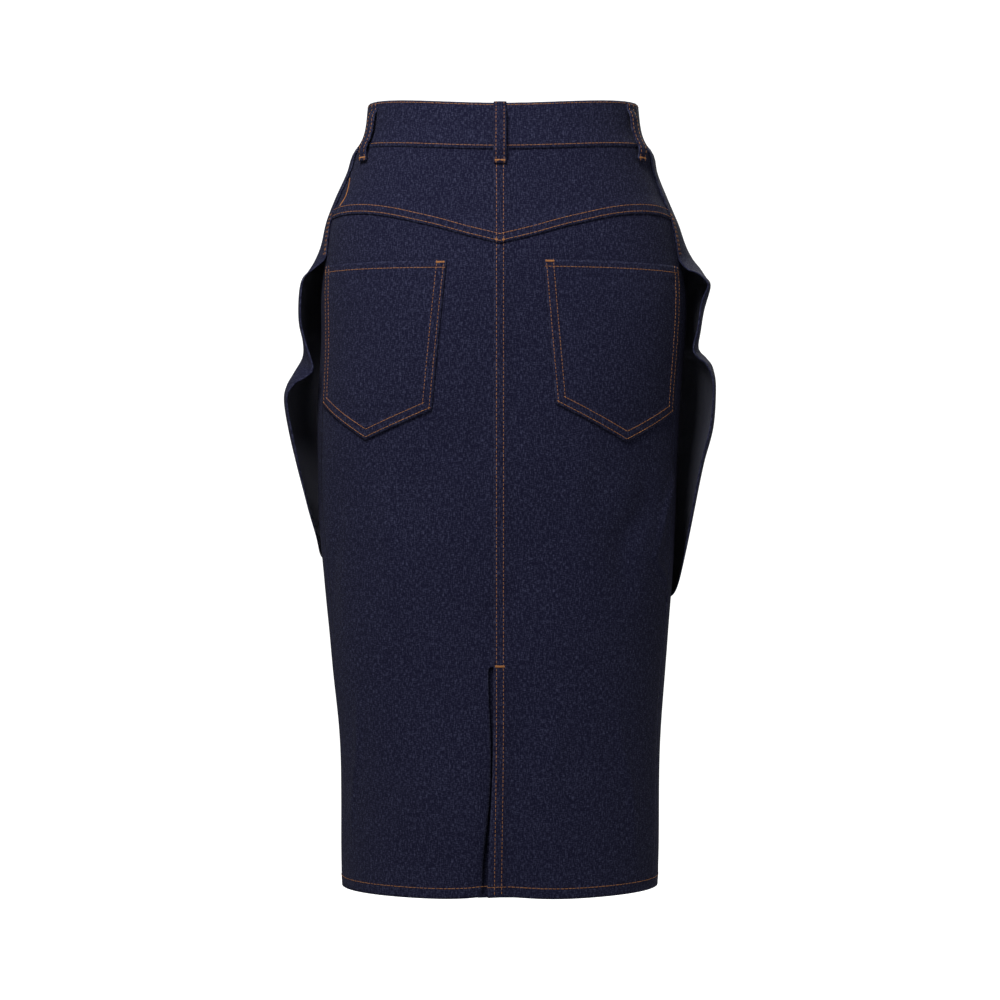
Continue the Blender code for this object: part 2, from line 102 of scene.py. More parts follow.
# Back yoke seam: cloth distance from the centre back, height
YOKE_SEAM = (
    (0.000, -0.1160), (0.035, -0.1070), (0.055, -0.1010), (0.080, -0.0945),
    (0.105, -0.0885), (0.130, -0.0845), (0.160, -0.0830), (0.200, -0.0860),
)

# Patch pocket corners: cloth distance from the centre back, height
POCKETS = {
    "left": {"inner_top": (0.049, -0.132), "outer_top": (0.190, -0.130),
             "outer_bottom": (0.188, -0.261), "tip": (0.128, -0.296),
             "inner_bottom": (0.063, -0.269)},
    "right": {"inner_top": (0.040, -0.131), "outer_top": (0.190, -0.131),
              "outer_bottom": (0.185, -0.269), "tip": (0.121, -0.298),
              "inner_bottom": (0.051, -0.263)},
}

# Hip drapes: a row for each station down the drape. Its front seam's height; then the places, to
# the side (x), to the front (y) and in height, of the line that stands furthest out and of the
# back edge, which is free below the side seam. Each lobe is where x grows and falls again. The
# places are on the drape's outer face.
DRAPES = {
    "left": (
        (-0.070, 0.1652, 0.012, -0.0780, 0.1592, -0.0330, -0.0800),
        (-0.094, 0.1722, 0.010, -0.1020, 0.1628, -0.0335, -0.1040),
        (-0.114, 0.1790, 0.006, -0.1200, 0.1668, -0.0340, -0.1215),
        (-0.130, 0.1855, -0.002, -0.1340, 0.1770, -0.0400, -0.1318),
        (-0.143, 0.1900, -0.006, -0.1450, 0.1866, -0.0440, -0.1420),
        (-0.160, 0.1925, -0.010, -0.1640, 0.1892, -0.0460, -0.1650),
        (-0.174, 0.1918, -0.010, -0.1830, 0.1888, -0.0460, -0.1850),
        (-0.187, 0.1880, -0.004, -0.1990, 0.1842, -0.0480, -0.2040),
        (-0.198, 0.1905, 0.004, -0.2130, 0.1770, -0.0510, -0.2270),
        (-0.208, 0.1985, 0.002, -0.2280, 0.1835, -0.0500, -0.2350),
        (-0.219, 0.2045, -0.004, -0.2410, 0.1950, -0.0480, -0.2420),
        (-0.234, 0.2062, -0.010, -0.2560, 0.2022, -0.0460, -0.2560),
        (-0.260, 0.2020, -0.010, -0.2850, 0.1975, -0.0430, -0.2890),
        (-0.290, 0.1945, -0.006, -0.3170, 0.1908, -0.0380, -0.3230),
        (-0.320, 0.1860, 0.000, -0.3480, 0.1835, -0.0290, -0.3580),
        (-0.350, 0.1790, 0.012, -0.3760, 0.1765, -0.0120, -0.3880),
        (-0.375, 0.1690, 0.034, -0.3960, 0.1730, 0.0155, -0.4080),
        (-0.395, 0.1450, 0.064, -0.4100, 0.1460, 0.0620, -0.4180),
    ),
    "right": (
        (-0.070, 0.1690, 0.012, -0.0780, 0.1612, -0.0330, -0.0800),
        (-0.094, 0.1785, 0.010, -0.1020, 0.1668, -0.0340, -0.1040),
        (-0.112, 0.1860, 0.004, -0.1180, 0.1700, -0.0350, -0.1215),
        (-0.124, 0.1935, -0.002, -0.1290, 0.1775, -0.0410, -0.1320),
        (-0.136, 0.1985, -0.006, -0.1390, 0.1880, -0.0450, -0.1370),
        (-0.150, 0.2012, -0.010, -0.1470, 0.1975, -0.0460, -0.1480),
        (-0.168, 0.1958, -0.010, -0.1700, 0.1915, -0.0460, -0.1640),
        (-0.184, 0.1920, -0.006, -0.1900, 0.1875, -0.0470, -0.1900),
        (-0.198, 0.1900, 0.002, -0.2050, 0.1830, -0.0500, -0.2085),
        (-0.207, 0.1985, 0.000, -0.2150, 0.1875, -0.0500, -0.2170),
        (-0.219, 0.2040, -0.004, -0.2250, 0.1960, -0.0480, -0.2240),
        (-0.236, 0.2060, -0.010, -0.2450, 0.2025, -0.0460, -0.2430),
        (-0.262, 0.2040, -0.012, -0.2810, 0.2000, -0.0440, -0.2810),
        (-0.292, 0.1950, -0.010, -0.3170, 0.1915, -0.0400, -0.3170),
        (-0.326, 0.1870, -0.004, -0.3580, 0.1835, -0.0320, -0.3620),
        (-0.362, 0.1790, 0.010, -0.3980, 0.1765, -0.0180, -0.4080),
        (-0.396, 0.1680, 0.034, -0.4300, 0.1695, 0.0120, -0.4420),
        (-0.422, 0.1430, 0.062, -0.4460, 0.1435, 0.0600, -0.4540),
    ),
}
DRAPE_ACROSS = (0.0, 0.62, 1.0)  # shares of the cloth's width at the front, side and edge
DRAPE_INNER = 0.0010            # how far in from those places the sheet's own points lie
DRAPE_FRONT = 0.690             # turn of the drape's front seam
DRAPE_OUT = DENIM + 0.0009      # the drape's inner face, above the body surface, where it is sewn

# Belt loops: turn at the top and at the bottom of each
LOOPS = {
    "belt_loop_back": (0.000, 0.000),
    "belt_loop_side_left": (-0.390, -0.365),
    "belt_loop_side_right": (0.390, 0.370),
    "belt_loop_front_left": (-0.780, -0.785),
    "belt_loop_front_right": (0.780, 0.785),
}
LOOP_WIDTH = 0.0120
LOOP_CLOTH = 0.0018
LOOP_RISE = 0.0048              # room for a belt between loop and waistband
LOOP_BELOW = 0.0150             # how far a loop reaches below the waist seam
SIDE_LOOP_DROP = 0.0035         # the side loops start lower, where the waistband turns

# Front closure
FLY_LENGTH = 0.165
ZIP_HALF_WIDTH = 0.0140
ZIP_TAPE = 0.0010
SLIDER = (0.0085, 0.0034, 0.0130)   # width, depth, length
BAND_UNDERLAP = 0.034           # waistband end under the button, past the centre front

# Creases on the back: sideways place and height of each end, width, and how far the crease
# stands out; a trough is negative. Sideways is to the wearer's right.
BACK_CREASES = (
    (0.165, -0.315, 0.145, -0.405, 0.004, 0.0022),
    (0.145, -0.405, 0.160, -0.440, 0.004, 0.0016),
    (0.140, -0.325, 0.105, -0.445, 0.018, -0.0030),
    (0.075, -0.295, 0.075, -0.410, 0.014, 0.0012),
    (-0.095, -0.290, -0.105, -0.480, 0.014, 0.0013),
    (-0.020, -0.270, -0.020, -0.370, 0.008, -0.0012),
    (0.000, -0.435, -0.005, -0.505, 0.014, -0.0020),
    (0.015, -0.510, 0.030, -0.610, 0.010, -0.0012),
    (0.055, -0.540, 0.045, -0.620, 0.010, 0.0010),
    (-0.130, -0.530, -0.140, -0.665, 0.005, 0.0012),
    (0.110, -0.550, 0.130, -0.695, 0.006, 0.0010),
    (-0.150, -0.335, -0.155, -0.485, 0.010, -0.0010),
    (-0.065, -0.280, -0.025, -0.335, 0.007, -0.0008),
)
# The front doesn't show, so these are a guess in the same manner
FRONT_CREASES = (
    (0.120, -0.085, 0.060, -0.140, 0.010, -0.0014),
    (-0.125, -0.080, -0.065, -0.130, 0.011, -0.0015),
    (0.080, -0.290, 0.105, -0.420, 0.015, 0.0016),
    (-0.085, -0.310, -0.100, -0.470, 0.014, 0.0014),
    (0.030, -0.350, 0.040, -0.560, 0.016, -0.0015),
    (-0.045, -0.400, -0.035, -0.620, 0.015, -0.0016),
    (0.110, -0.520, 0.120, -0.690, 0.009, 0.0011),
    (-0.115, -0.540, -0.125, -0.700, 0.008, 0.0012),
)

# Layers: how far a piece's outer face stands out from the body, and how the layers meet
LAP_RISE = 0.0015               # a lapped edge stands over the layer beneath it
LAP_RAMP = 0.012                # width over which it rises
TUCK = 0.008                    # how far a layer runs on beneath the next
BAND_FACE = 0.0026
VENT_GAP = 0.0048               # the lower layer stands back from the lapped edge in the vent
HEM_SAG = 0.0035                # the hem hangs this far below the plain solid
HEM_LIFT = 0.0032               # and rises at the centre back
ROW_DRIFT = 0.35                # share of the vent edge's swing that its rows of stitches follow
VENT_DEPTH = 0.0040             # the strip inside the vent lies this much deeper
POCKET_FACE = 0.0027
POCKET_CLOTH = 0.0013           # a pocket's thickness, a little over one layer's
POCKET_BULGE = 0.0016           # how far a pocket's middle stands out
EDGE_RIDGE = 0.0007             # a turned-in edge is a layer thicker
RIDGE_WIDTH = 0.008
SLACK = 0.0010                  # depth of the cloth's broad waves
PUCKER_WIDTH = 0.0065           # reach of the ripples beside a row of stitches
HEM_LIFT_WIDTH = 0.035          # how far to each side of it the rise reaches

# Stitch rows
ROW_POINTS = 520                # along a row from the waist to the hem
ROW_START = 0.003               # such a row starts this far below the waist seam
ROW_END = 0.004                 # and ends this far above the hem
YOKE_ROW_END = 0.186            # a yoke row's end, from the centre back
HEM_ROW = 0.0097                # above the hem
TWIN = 0.0064                   # between the two rows of a twin-needle seam
EDGE_ROW = 0.0024               # from a folded edge to its nearest row
BAND_ROW = 0.0018
POCKET_HEM_ROW = 0.0062
LOOP_ROW = 0.0037               # from a belt loop's middle
LOOP_ROW_SINK = 0.0003          # those rows lie lower than the loop's middle
FLY_WIDTH = 0.036               # the fly's curved row, from the centre front
DRAPE_SEWN = (-0.118, -0.077)   # heights between which a drape is sewn in the side seam
DRAPE_ROWS_AT = (1, 3)          # points of the drape's grid, from its back edge, that those rows follow
TACK_PITCH = 0.00042
TACK_THREAD = (0.0016, 0.00028)   # a bar tack's width and thread radius
TACK_POINTS = 12
TACK_DROP = 0.0012              # tacks and rows start this far below a pocket's top edge
LOOP_TACK = (0.0025, 0.0046)    # height above the loop's lower end, half width
VENT_TACK = 0.0042              # half width
SEAM_TACK = 0.0009              # half width of the short tacks where the yoke seams meet
YOKE_TACK = ((-0.165, -0.046), (-0.169, -0.073))   # ends of the left yoke's tack: distance, height
YOKE_TACK_BOW = 0.0045          # how far its middle bows towards the centre back
YOKE_TACK_THREAD = (0.0018, 0.00030)
UPRIGHT_SHARE = 0.58            # how much of a stitch's pitch shows on a row that runs up
LEVEL_SHARE = 0.84              # and on one that runs across
THREAD_STAND = 0.0001           # thread centre above the cloth
ZIP_TOOTH = (0.0016, 0.0042, 0.00055)   # pitch, width, radius

# Denim weave: scales across and up the cloth, and how much of each part shows
TWILL = (7800.0, 5700.0)
SLUB = (1150.0, 240.0, 1.0)
FLECK = (330.0, 1250.0, 1.0)
STREAK = (700.0, 45.0, 1.0)
WASH = 14.0                     # scale of the broad paler patches
TWILL_SHARE, WASH_SHARE, STREAK_SHARE, WEAR_SHARE = 0.05, 0.17, 0.75, 0.20

# Stage
FLOOR_RADIUS = 3.0
FLOOR_HEIGHT = -1.05
ROOM_LIGHT = 0.14               # strength of the room's light on the cloth
ROOM_SEEN = 1.05                # how much brighter the camera sees it
LAMPS = (                       # name, place, size, power
    ("key", (-0.5, -1.15, 0.9), 0.7, 25.0),
    ("fill", (1.2, -1.8, 0.7), 1.4, 4.0),
    ("front_key", (0.7, 2.1, 1.25), 1.2, 46.0),
)
LAMP_TARGET = (0.0, 0.0, -0.3)
CAMERA_PLACE = (0.0, -2.3, -0.352)
FOCAL_LENGTH = 85.68
SENSOR_WIDTH = 36.0

# How grids of points are spread
GRID = 0.0032                   # spacing of the points of a panel
YOKE_GRID = 0.0024
BACK_PANEL_SIZE = (0.62, 0.19)  # length and width, rough, which set how many points a piece has
FRONT_PANEL_SIZE = (0.70, 0.27)
YOKE_SIZE = (0.095, 0.19)
GRID_START = -0.10              # level from which a panel's rows are first worked out
YOKE_START = -0.06
GRID_SETTLE = 6                 # rounds in which a row's level and seams settle
LAP_FROM, LAP_FULL = 0.058, 0.040   # where the band's left end starts to rise, and has risen
NEAR_STEPS = 2001
DRAPE_ROWS = 150
DRAPE_COLUMNS = 52

LEVELS = np.linspace(-0.735, 0.045, 391)
TURNS = np.linspace(0.0, 1.0, 241)
RING_ANGLES = np.linspace(0.0, pi, 361)


def value_at(rows, places, where):
    """Smooth value at a place, through rows that belong to rising places."""
    slopes = np.gradient(rows, places, axis=0)
    index = int(np.clip(np.searchsorted(places, where) - 1, 0, len(places) - 2))
    span = places[index + 1] - places[index]
    share = np.clip((where - places[index]) / span, 0.0, 1.0)
    rise = share * share * (3.0 - 2.0 * share)
    leave = share * (1.0 - share) ** 2
    arrive = -share * share * (1.0 - share)
    return (rows[index] * (1.0 - rise) + rows[index + 1] * rise
            + span * (slopes[index] * leave + slopes[index + 1] * arrive))


BODY_LEVELS = np.array([row[0] for row in BODY])[::-1]
BODY_SIZES = np.array([row[1:] for row in BODY])[::-1]
YOKE_PLACES = np.array([row[0] for row in YOKE_SEAM])
YOKE_HEIGHTS = np.array([row[1] for row in YOKE_SEAM])


def half_ring(height, side):
    """Half of the body section at a height, from centre back to centre front on one side."""
    half_width, back, front, shift = value_at(BODY_SIZES, BODY_LEVELS, height)
    across = np.abs(np.sin(RING_ANGLES)) ** (2.0 / FULLNESS)
    along = np.sign(np.cos(RING_ANGLES)) * np.abs(np.cos(RING_ANGLES)) ** (2.0 / FULLNESS)
    x = side * half_width * across + shift * np.sin(RING_ANGLES) ** 2
    y = np.where(along > 0.0, -back * along, -front * along)
    length = np.concatenate(([0.0], np.cumsum(np.hypot(np.diff(x), np.diff(y)))))
    return x, y, length


def body_lattice(side):
    """The body's x, y and half girth on the lattice of levels and turns, on one side."""
    x = np.zeros((len(LEVELS), len(TURNS)))
    y = np.zeros_like(x)
    girth = np.zeros(len(LEVELS))
    for index, height in enumerate(LEVELS):
        ring_x, ring_y, length = half_ring(height, side)
        girth[index] = length[-1]
        x[index] = np.interp(TURNS * length[-1], length, ring_x)
        y[index] = np.interp(TURNS * length[-1], length, ring_y)
    return x, y, girth


LATTICE = {1.0: body_lattice(1.0), -1.0: body_lattice(-1.0)}


def girth_at(height, side):
    """Cloth length from centre back to centre front; side may be an array."""
    right = np.interp(height, LEVELS, LATTICE[1.0][2])
    left = np.interp(height, LEVELS, LATTICE[-1.0][2])
    return np.where(np.asarray(side) >= 0.0, right, left)


def lattice_value(table, turn, height):
    """Bilinear value of a lattice table."""
    row = np.clip((height - LEVELS[0]) / (LEVELS[1] - LEVELS[0]), 0.0, len(LEVELS) - 1.001)
    column = np.clip(turn / (TURNS[1] - TURNS[0]), 0.0, len(TURNS) - 1.001)
    low = row.astype(int)
    near = column.astype(int)
    up = row - low
    on = column - near
    return ((table[low, near] * (1 - up) + table[low + 1, near] * up) * (1 - on)
            + (table[low, near + 1] * (1 - up) + table[low + 1, near + 1] * up) * on)


def from_back(turn):
    """Share of the way round from the centre back; a turn past the centre front goes on round."""
    reach = np.abs(turn)
    return np.where(reach > 1.0, 2.0 - reach, reach)


def body_xy(turn, height):
    """Body x and y at turns and heights, for arrays; a turn past the centre goes on round."""
    on_right = (turn >= 0.0) != (np.abs(turn) > 1.0)
    place = from_back(turn)
    right, left = ([lattice_value(table, place, height) for table in LATTICE[side][:2]]
                   for side in (1.0, -1.0))
    return tuple(np.where(on_right, *values) for values in zip(right, left))


def outward(turn, height):
    """Level direction that points out of the body."""
    step = 0.006
    ahead_x, ahead_y = body_xy(turn + step, height)
    behind_x, behind_y = body_xy(turn - step, height)
    run_x = ahead_x - behind_x
    run_y = ahead_y - behind_y
    length = np.hypot(run_x, run_y)
    return run_y / length, -run_x / length


def on_body(turn, height, out):
    """Points at turns and heights that stand out from the body, for arrays of one shape."""
    turn, height, out = np.broadcast_arrays(*(np.asarray(each, float) for each in (turn, height, out)))
    x, y = body_xy(turn, height)
    normal_x, normal_y = outward(turn, height)
    return np.stack((x + out * normal_x, y + out * normal_y, height), axis=-1)


def turn_of(distance, height):
    """Turn of a cloth distance from the centre back."""
    return distance / girth_at(height, distance)


def ease(share):
    """Smooth step from 0 to 1."""
    share = np.clip(share, 0.0, 1.0)
    return share * share * (3.0 - 2.0 * share)


def waist_seam(turn):
    """Height of the seam between waistband and skirt."""
    place = from_back(turn)
    low = np.where(place < 0.5, SEAM_AT_BACK, SEAM_AT_FRONT)
    return low + (SEAM_AT_BACK + SIDE_RISE - low) * np.sin(pi * place) ** 2


YOKE_CURVE_PLACES = np.linspace(0.0, YOKE_SEAM[-1][0], 161)
YOKE_CURVE = np.array([float(value_at(YOKE_HEIGHTS, YOKE_PLACES, place)) for place in YOKE_CURVE_PLACES])


def yoke_seam(distance):
    """Height of the V-shaped seam under the back yoke."""
    return np.interp(np.abs(distance), YOKE_CURVE_PLACES, YOKE_CURVE)


def vent_share(height):
    """0 at the top of the vent, 1 at the hem."""
    return ease((VENT_TOP - height) / (VENT_TOP - HEM))


def centre_back_edge(height):
    """Cloth distance of the lapped edge down the centre back."""
    return -LAP - VENT_DRIFT * vent_share(height) ** 2


def vent_out(distance, height, side):
    """How far the cloth beside the vent stands off the body: up on the right, in on the left."""
    reach = np.abs(distance - centre_back_edge(height))
    fade = ease(1.0 - reach / VENT_REACH)
    return fade * vent_share(height) * (VENT_LIFT if side > 0.0 else -VENT_SINK)


def hem_line(distance):
    """Height of the back hem, which rises a little at the centre."""
    return HEM - HEM_SAG + HEM_LIFT * np.exp(-(distance / HEM_LIFT_WIDTH) ** 2)


def crease_lines():
    """Creases as cloth distances and heights: from, to, width, how far they stand out."""
    lines = []
    for table, at_front in ((BACK_CREASES, False), (FRONT_CREASES, True)):
        for x0, z0, x1, z1, width, stand in table:
            ends = []
            for x, height in ((x0, z0), (x1, z1)):
                side = 1.0 if x >= 0.0 else -1.0
                ring_x, _, length = half_ring(height, side)
                widest = int(np.argmax(side * ring_x))
                if at_front:
                    reach = np.interp(abs(x), (side * ring_x[widest:])[::-1], length[widest:][::-1])
                else:
                    reach = np.interp(abs(x), side * ring_x[:widest + 1], length[:widest + 1])
                ends += [side * reach, height]
            lines.append((*ends, width, stand))
    return lines


CREASE_LINES = crease_lines()


def relief(distance, height):
    """How far creases and the cloth's slack move a face, in and out."""
    total = np.zeros(np.broadcast(distance, height).shape)
    for start_d, start_z, end_d, end_z, width, stand in CREASE_LINES:
        run_d = end_d - start_d
        run_z = end_z - start_z
        share = ((distance - start_d) * run_d + (height - start_z) * run_z) / (run_d ** 2 + run_z ** 2)
        along = np.clip(share, 0.0, 1.0)
        wander = 0.35 * width * np.sin(9.0 * along + 40.0 * start_z)
        away = np.hypot(distance - start_d - run_d * along - wander, height - start_z - run_z * along)
        fade = 1.0 - 0.7 * (2.0 * along - 1.0) ** 2
        total = total + stand * fade * np.exp(-(away / width) ** 2)
    slack = SLACK * np.sin(31.0 * distance + 1.3 + 2.0 * np.sin(9.0 * height)) * np.sin(17.0 * height + 0.6)
    settle = ease((-0.10 - height) / 0.10)
    look = bpy.context.scene.skirt_look
    return (total + slack * settle) * look.crease_depth


def pucker(away, along):
    """Small ripples that a row of stitches draws up in the cloth beside it."""
    ripple = np.sin(560.0 * along + 1.7 * np.sin(97.0 * along)) + 0.5 * np.sin(327.0 * along + 0.8)
    return bpy.context.scene.skirt_look.pucker * ripple * np.exp(-(away / PUCKER_WIDTH) ** 2)


def under_drape(turn, height):
    """1 where a hip drape lies over the front panel."""
    place = np.abs(turn)
    across = ease((place - SIDE_SEAM + 0.03) / 0.05) * ease((DRAPE_FRONT + 0.03 - place) / 0.05)
    return across * ease((height + 0.50) / 0.05)


def panel_face(distance, height, side):
    """Stand-off of a back panel's outer face."""
    edge = centre_back_edge(height)
    face = DENIM + relief(distance, height) + vent_out(distance, height, side)
    face = face + pucker(height - hem_line(distance) - HEM_ROW, distance)
    face = face + pucker(distance - edge - EDGE_ROW - TWIN / 2, height)
    if side > 0.0:
        face = face + LAP_RISE * ease(1.0 - (distance - edge - RIDGE_WIDTH) / LAP_RAMP)
    return face


def yoke_face(distance, height, side):
    """Stand-off of a back yoke's outer face."""
    below = height - yoke_seam(distance)
    face = DENIM + relief(distance, height) + LAP_RISE * ease(1.0 - (below - RIDGE_WIDTH) / LAP_RAMP)
    face = face + pucker(below - EDGE_ROW - TWIN / 2, distance)
    if side > 0.0:
        face = face + LAP_RISE * ease(1.0 - (distance + LAP - RIDGE_WIDTH) / LAP_RAMP)
    return face


def front_face(turn, height, side):
    """Stand-off of a front panel's outer face."""
    girth = girth_at(height, turn)
    distance = turn * girth
    calm = 1.0 - under_drape(turn, height)
    face = DENIM + relief(distance, height) * calm + pucker(height - HEM + HEM_SAG - HEM_ROW, distance)
    from_centre = (1.0 - np.abs(turn)) * girth
    face = face + pucker(from_centre - EDGE_ROW, height)
    if side < 0.0:
        past = np.where(np.abs(turn) > 1.0, -from_centre, from_centre)
        face = face + LAP_RISE * ease(1.0 - past / LAP_RAMP)
    return face


def band_face(turn, height):
    """Stand-off of the waistband's outer face, which rises where its left end laps over."""
    girth = girth_at(0.0, 1.0)
    over_from = 1.0 - LAP_FROM / girth
    over_full = 1.0 - LAP_FULL / girth
    lap = ease((-turn - over_from) / (over_full - over_from))
    up = height - waist_seam(turn)
    along = turn * girth
    return (BAND_FACE + lap * (BAND + SEAM_GAP) + pucker(up - BAND_ROW, along)
            + pucker(up - BAND_HEIGHT + BAND_ROW, along + 0.004)
            + 0.0004 * np.sin(pi * np.clip(up / BAND_HEIGHT, 0.0, 1.0)))


def pocket_outline(corners):
    """A pocket's corners in order round it, from its inner top."""
    return [corners[name] for name in ("inner_top", "inner_bottom", "tip", "outer_bottom", "outer_top")]


def from_outline(corners, distance, height):
    """How far a place lies in from the nearest side of a pocket, and how far down from its top."""
    outline = pocket_outline(corners)
    nearest = np.full(np.shape(distance), 1.0)
    for start, end in zip(outline[:-1], outline[1:]):
        run = np.subtract(end, start)
        share = ((distance - start[0]) * run[0] + (height - start[1]) * run[1]) / (run @ run)
        share = np.clip(share, 0.0, 1.0)
        away = np.hypot(distance - start[0] - share * run[0], height - start[1] - share * run[1])
        nearest = np.minimum(nearest, away)
    inner = corners["inner_top"]
    outer = corners["outer_top"]
    slope = (outer[1] - inner[1]) / (outer[0] - inner[0])
    return nearest, inner[1] + (distance - inner[0]) * slope - height


def pocket_face(corners, distance, height, side):
    """Stand-off of a patch pocket's outer face, thicker along its turned edges."""
    to_side, to_top = from_outline(corners, np.abs(distance), height)
    ridge = np.maximum(ease(1.0 - (to_side - RIDGE_WIDTH) / 0.003), ease(1.0 - (to_top - 0.012) / 0.003))
    bulge = POCKET_BULGE * ease(to_side / 0.04) * ease(to_top / 0.03)
    return (POCKET_FACE + relief(distance, height) + EDGE_RIDGE * ridge + bulge
            + pucker(to_side - EDGE_ROW - TWIN / 2, distance + height)
            + pucker(to_top - POCKET_HEM_ROW, distance))


# Making pieces

def new_object(name, data):
    """Object in the scene."""
    made = bpy.data.objects.new(name, data)
    bpy.context.scene.collection.objects.link(made)
    return made


def shell(name, turn, height, out, thickness, finishes, uv=None):
    """Cloth piece whose outer face is a grid: rows go down, columns go to +turn."""
    points = on_body(turn, height, out)
    rows, columns = points.shape[:2]
    index = np.arange(rows * columns).reshape(rows, columns)
    faces = np.stack((index[:-1, :-1], index[1:, :-1], index[1:, 1:], index[:-1, 1:]), -1).reshape(-1, 4)
    mesh = bpy.data.meshes.new(name)
    mesh.from_pydata(points.reshape(-1, 3).tolist(), [], faces.tolist())
    if uv is None:
        girth = girth_at(height, turn)
        uv = np.stack((turn * girth, np.broadcast_to(height, turn.shape)), -1)
    layer = mesh.uv_layers.new(name="cloth")
    corners = np.zeros(len(mesh.loops), dtype=np.int32)
    mesh.loops.foreach_get("vertex_index", corners)
    layer.data.foreach_set("uv", uv.reshape(-1, 2)[corners].astype(np.float32).ravel())
    rim = np.ones((rows, columns), dtype=np.float32)
    rim[1:-1, 1:-1] = 0.0
    wear = mesh.attributes.new("wear", "FLOAT", "POINT")
    wear.data.foreach_set("value", rim.ravel())
    mesh.polygons.foreach_set("use_smooth", [True] * len(mesh.polygons))
    for finish in finishes:
        mesh.materials.append(finish)
    mesh.update()
    made = new_object(name, mesh)
    wall = made.modifiers.new("wall", "SOLIDIFY")
    wall.thickness = thickness
    wall.offset = -1.0
    wall.material_offset = len(finishes) - 1
    wall.use_even_offset = False
    made["cut_width"], made["cut_length"], made["cut_area"] = cut_size(points)
    return made


def reach_along(points, axis=0):
    """Distance from the first point along a line of points, or along each line of a grid."""
    steps = np.linalg.norm(np.diff(points, axis=axis), axis=-1)
    start = np.zeros_like(np.take(steps, [0], axis=axis))
    return np.concatenate((start, np.cumsum(steps, axis=axis)), axis=axis)


def cut_size(points):
    """Width, length and area of the cloth in a grid of points."""
    across = np.linalg.norm(np.diff(points, axis=1), axis=-1).sum(axis=1)
    down = np.linalg.norm(np.diff(points, axis=0), axis=-1).sum(axis=0)
    falling = points[1:, 1:] - points[:-1, :-1]
    rising = points[1:, :-1] - points[:-1, 1:]
    area = 0.5 * np.linalg.norm(np.cross(falling, rising), axis=-1).sum()
    width = float(across.max())
    length = float(down.max())
    return width, length, float(min(area, width * length))


def finish_piece(piece, node):
    """Put a piece in its CAD node's place: hide the node and hang the piece on the root body."""
    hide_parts(node)
    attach(piece, "root")
    return piece


def count_for(length, spacing=GRID):
    """Number of points along a length."""
    return max(3, int(round(length / spacing)) + 1)


def shares_over(size, spacing=GRID):
    """Shares down and across a piece of a rough length and width."""
    down, across = (np.linspace(0.0, 1.0, count_for(length, spacing)) for length in size)
    return down[:, None], across[None, :]


def in_order(side, *grids):
    """Grids with their columns in order to +turn, so that faces point outward on both sides."""
    return [grid[:, ::-1] if side < 0.0 else grid for grid in grids]


def make_back_panel(side_name, side):
    """Back panel, tucked under the yoke, the right one lapped over the left."""
    down, across = shares_over(BACK_PANEL_SIZE)
    level = GRID_START + (HEM - GRID_START) * down + 0.0 * across
    for _ in range(GRID_SETTLE):
        open_share = ease((VENT_TOP + 0.002 - level) / 0.004)
        down_vent = vent_share(level)
        narrow = 1.0 - 0.75 * np.sin(pi * down_vent) + 0.25 * down_vent ** 3
        tuck = TUCK * (1.0 - open_share) - VENT_GAP * open_share * narrow
        inner = centre_back_edge(level) + (0.0 if side > 0.0 else tuck)
        outer = side * SIDE_SEAM * girth_at(level, side)
        distance = inner + (outer - inner) * across
        top = yoke_seam(distance) + TUCK
        level = top + (hem_line(distance) - top) * down
    distance, level = in_order(side, distance, level)
    turn = distance / girth_at(level, side)
    out = panel_face(distance, level, side)
    piece = shell(f"denim_back_panel_{side_name}", turn, level, out, DENIM, lined())
    return finish_piece(piece, f"back_panel_{side_name}")


def make_back_yoke(side_name, side):
    """Back yoke, from inside the waistband to its lapped lower edge."""
    down, across = shares_over(YOKE_SIZE, YOKE_GRID)
    level = YOKE_START + 0.0 * down * across
    for _ in range(GRID_SETTLE):
        inner = -LAP + (0.0 if side > 0.0 else TUCK)
        outer = side * SIDE_SEAM * girth_at(level, side)
        distance = inner + (outer - inner) * across
        top = waist_seam(turn_of(distance, level)) + 0.004
        level = top + (yoke_seam(distance) - top) * down
    distance, level = in_order(side, distance, level)
    turn = distance / girth_at(level, side)
    out = yoke_face(distance, level, side)
    piece = shell(f"denim_back_yoke_{side_name}", turn, level, out, DENIM, lined())
    return finish_piece(piece, f"back_yoke_{side_name}")


def make_front_panel(side_name, side):
    """Front panel, the left one lapped over the right down the centre front."""
    down, across = shares_over(FRONT_PANEL_SIZE)
    level = GRID_START + (HEM - GRID_START) * down + 0.0 * across
    for _ in range(GRID_SETTLE):
        girth = girth_at(level, side)
        inner = 1.0 + (LAP if side < 0.0 else TUCK - LAP) / girth
        turn = SIDE_SEAM + (inner - SIDE_SEAM) * across
        top = waist_seam(turn) + 0.003
        level = top + (HEM - HEM_SAG - top) * down
    turn, level = in_order(side, side * turn, level)
    out = front_face(turn, level, side)
    piece = shell(f"denim_front_panel_{side_name}", turn, level, out, DENIM, lined())
    return finish_piece(piece, f"front_panel_{side_name}")


def make_waistband():
    """Waistband, open at the centre front, its left end lapped over the right one."""
    girth = float(girth_at(0.0, 1.0))
    turn = np.linspace(-1.0 - LAP / girth, 1.0 + BAND_UNDERLAP / girth, 320)[None, :]
    up = np.linspace(1.0, -0.03, 17)[:, None]
    turn, up = np.broadcast_arrays(turn, up)
    height = waist_seam(turn) + BAND_HEIGHT * up
    out = band_face(turn, height)
    piece = shell("denim_waistband", turn, height, out, BAND, doubled())
    return finish_piece(piece, "waistband")


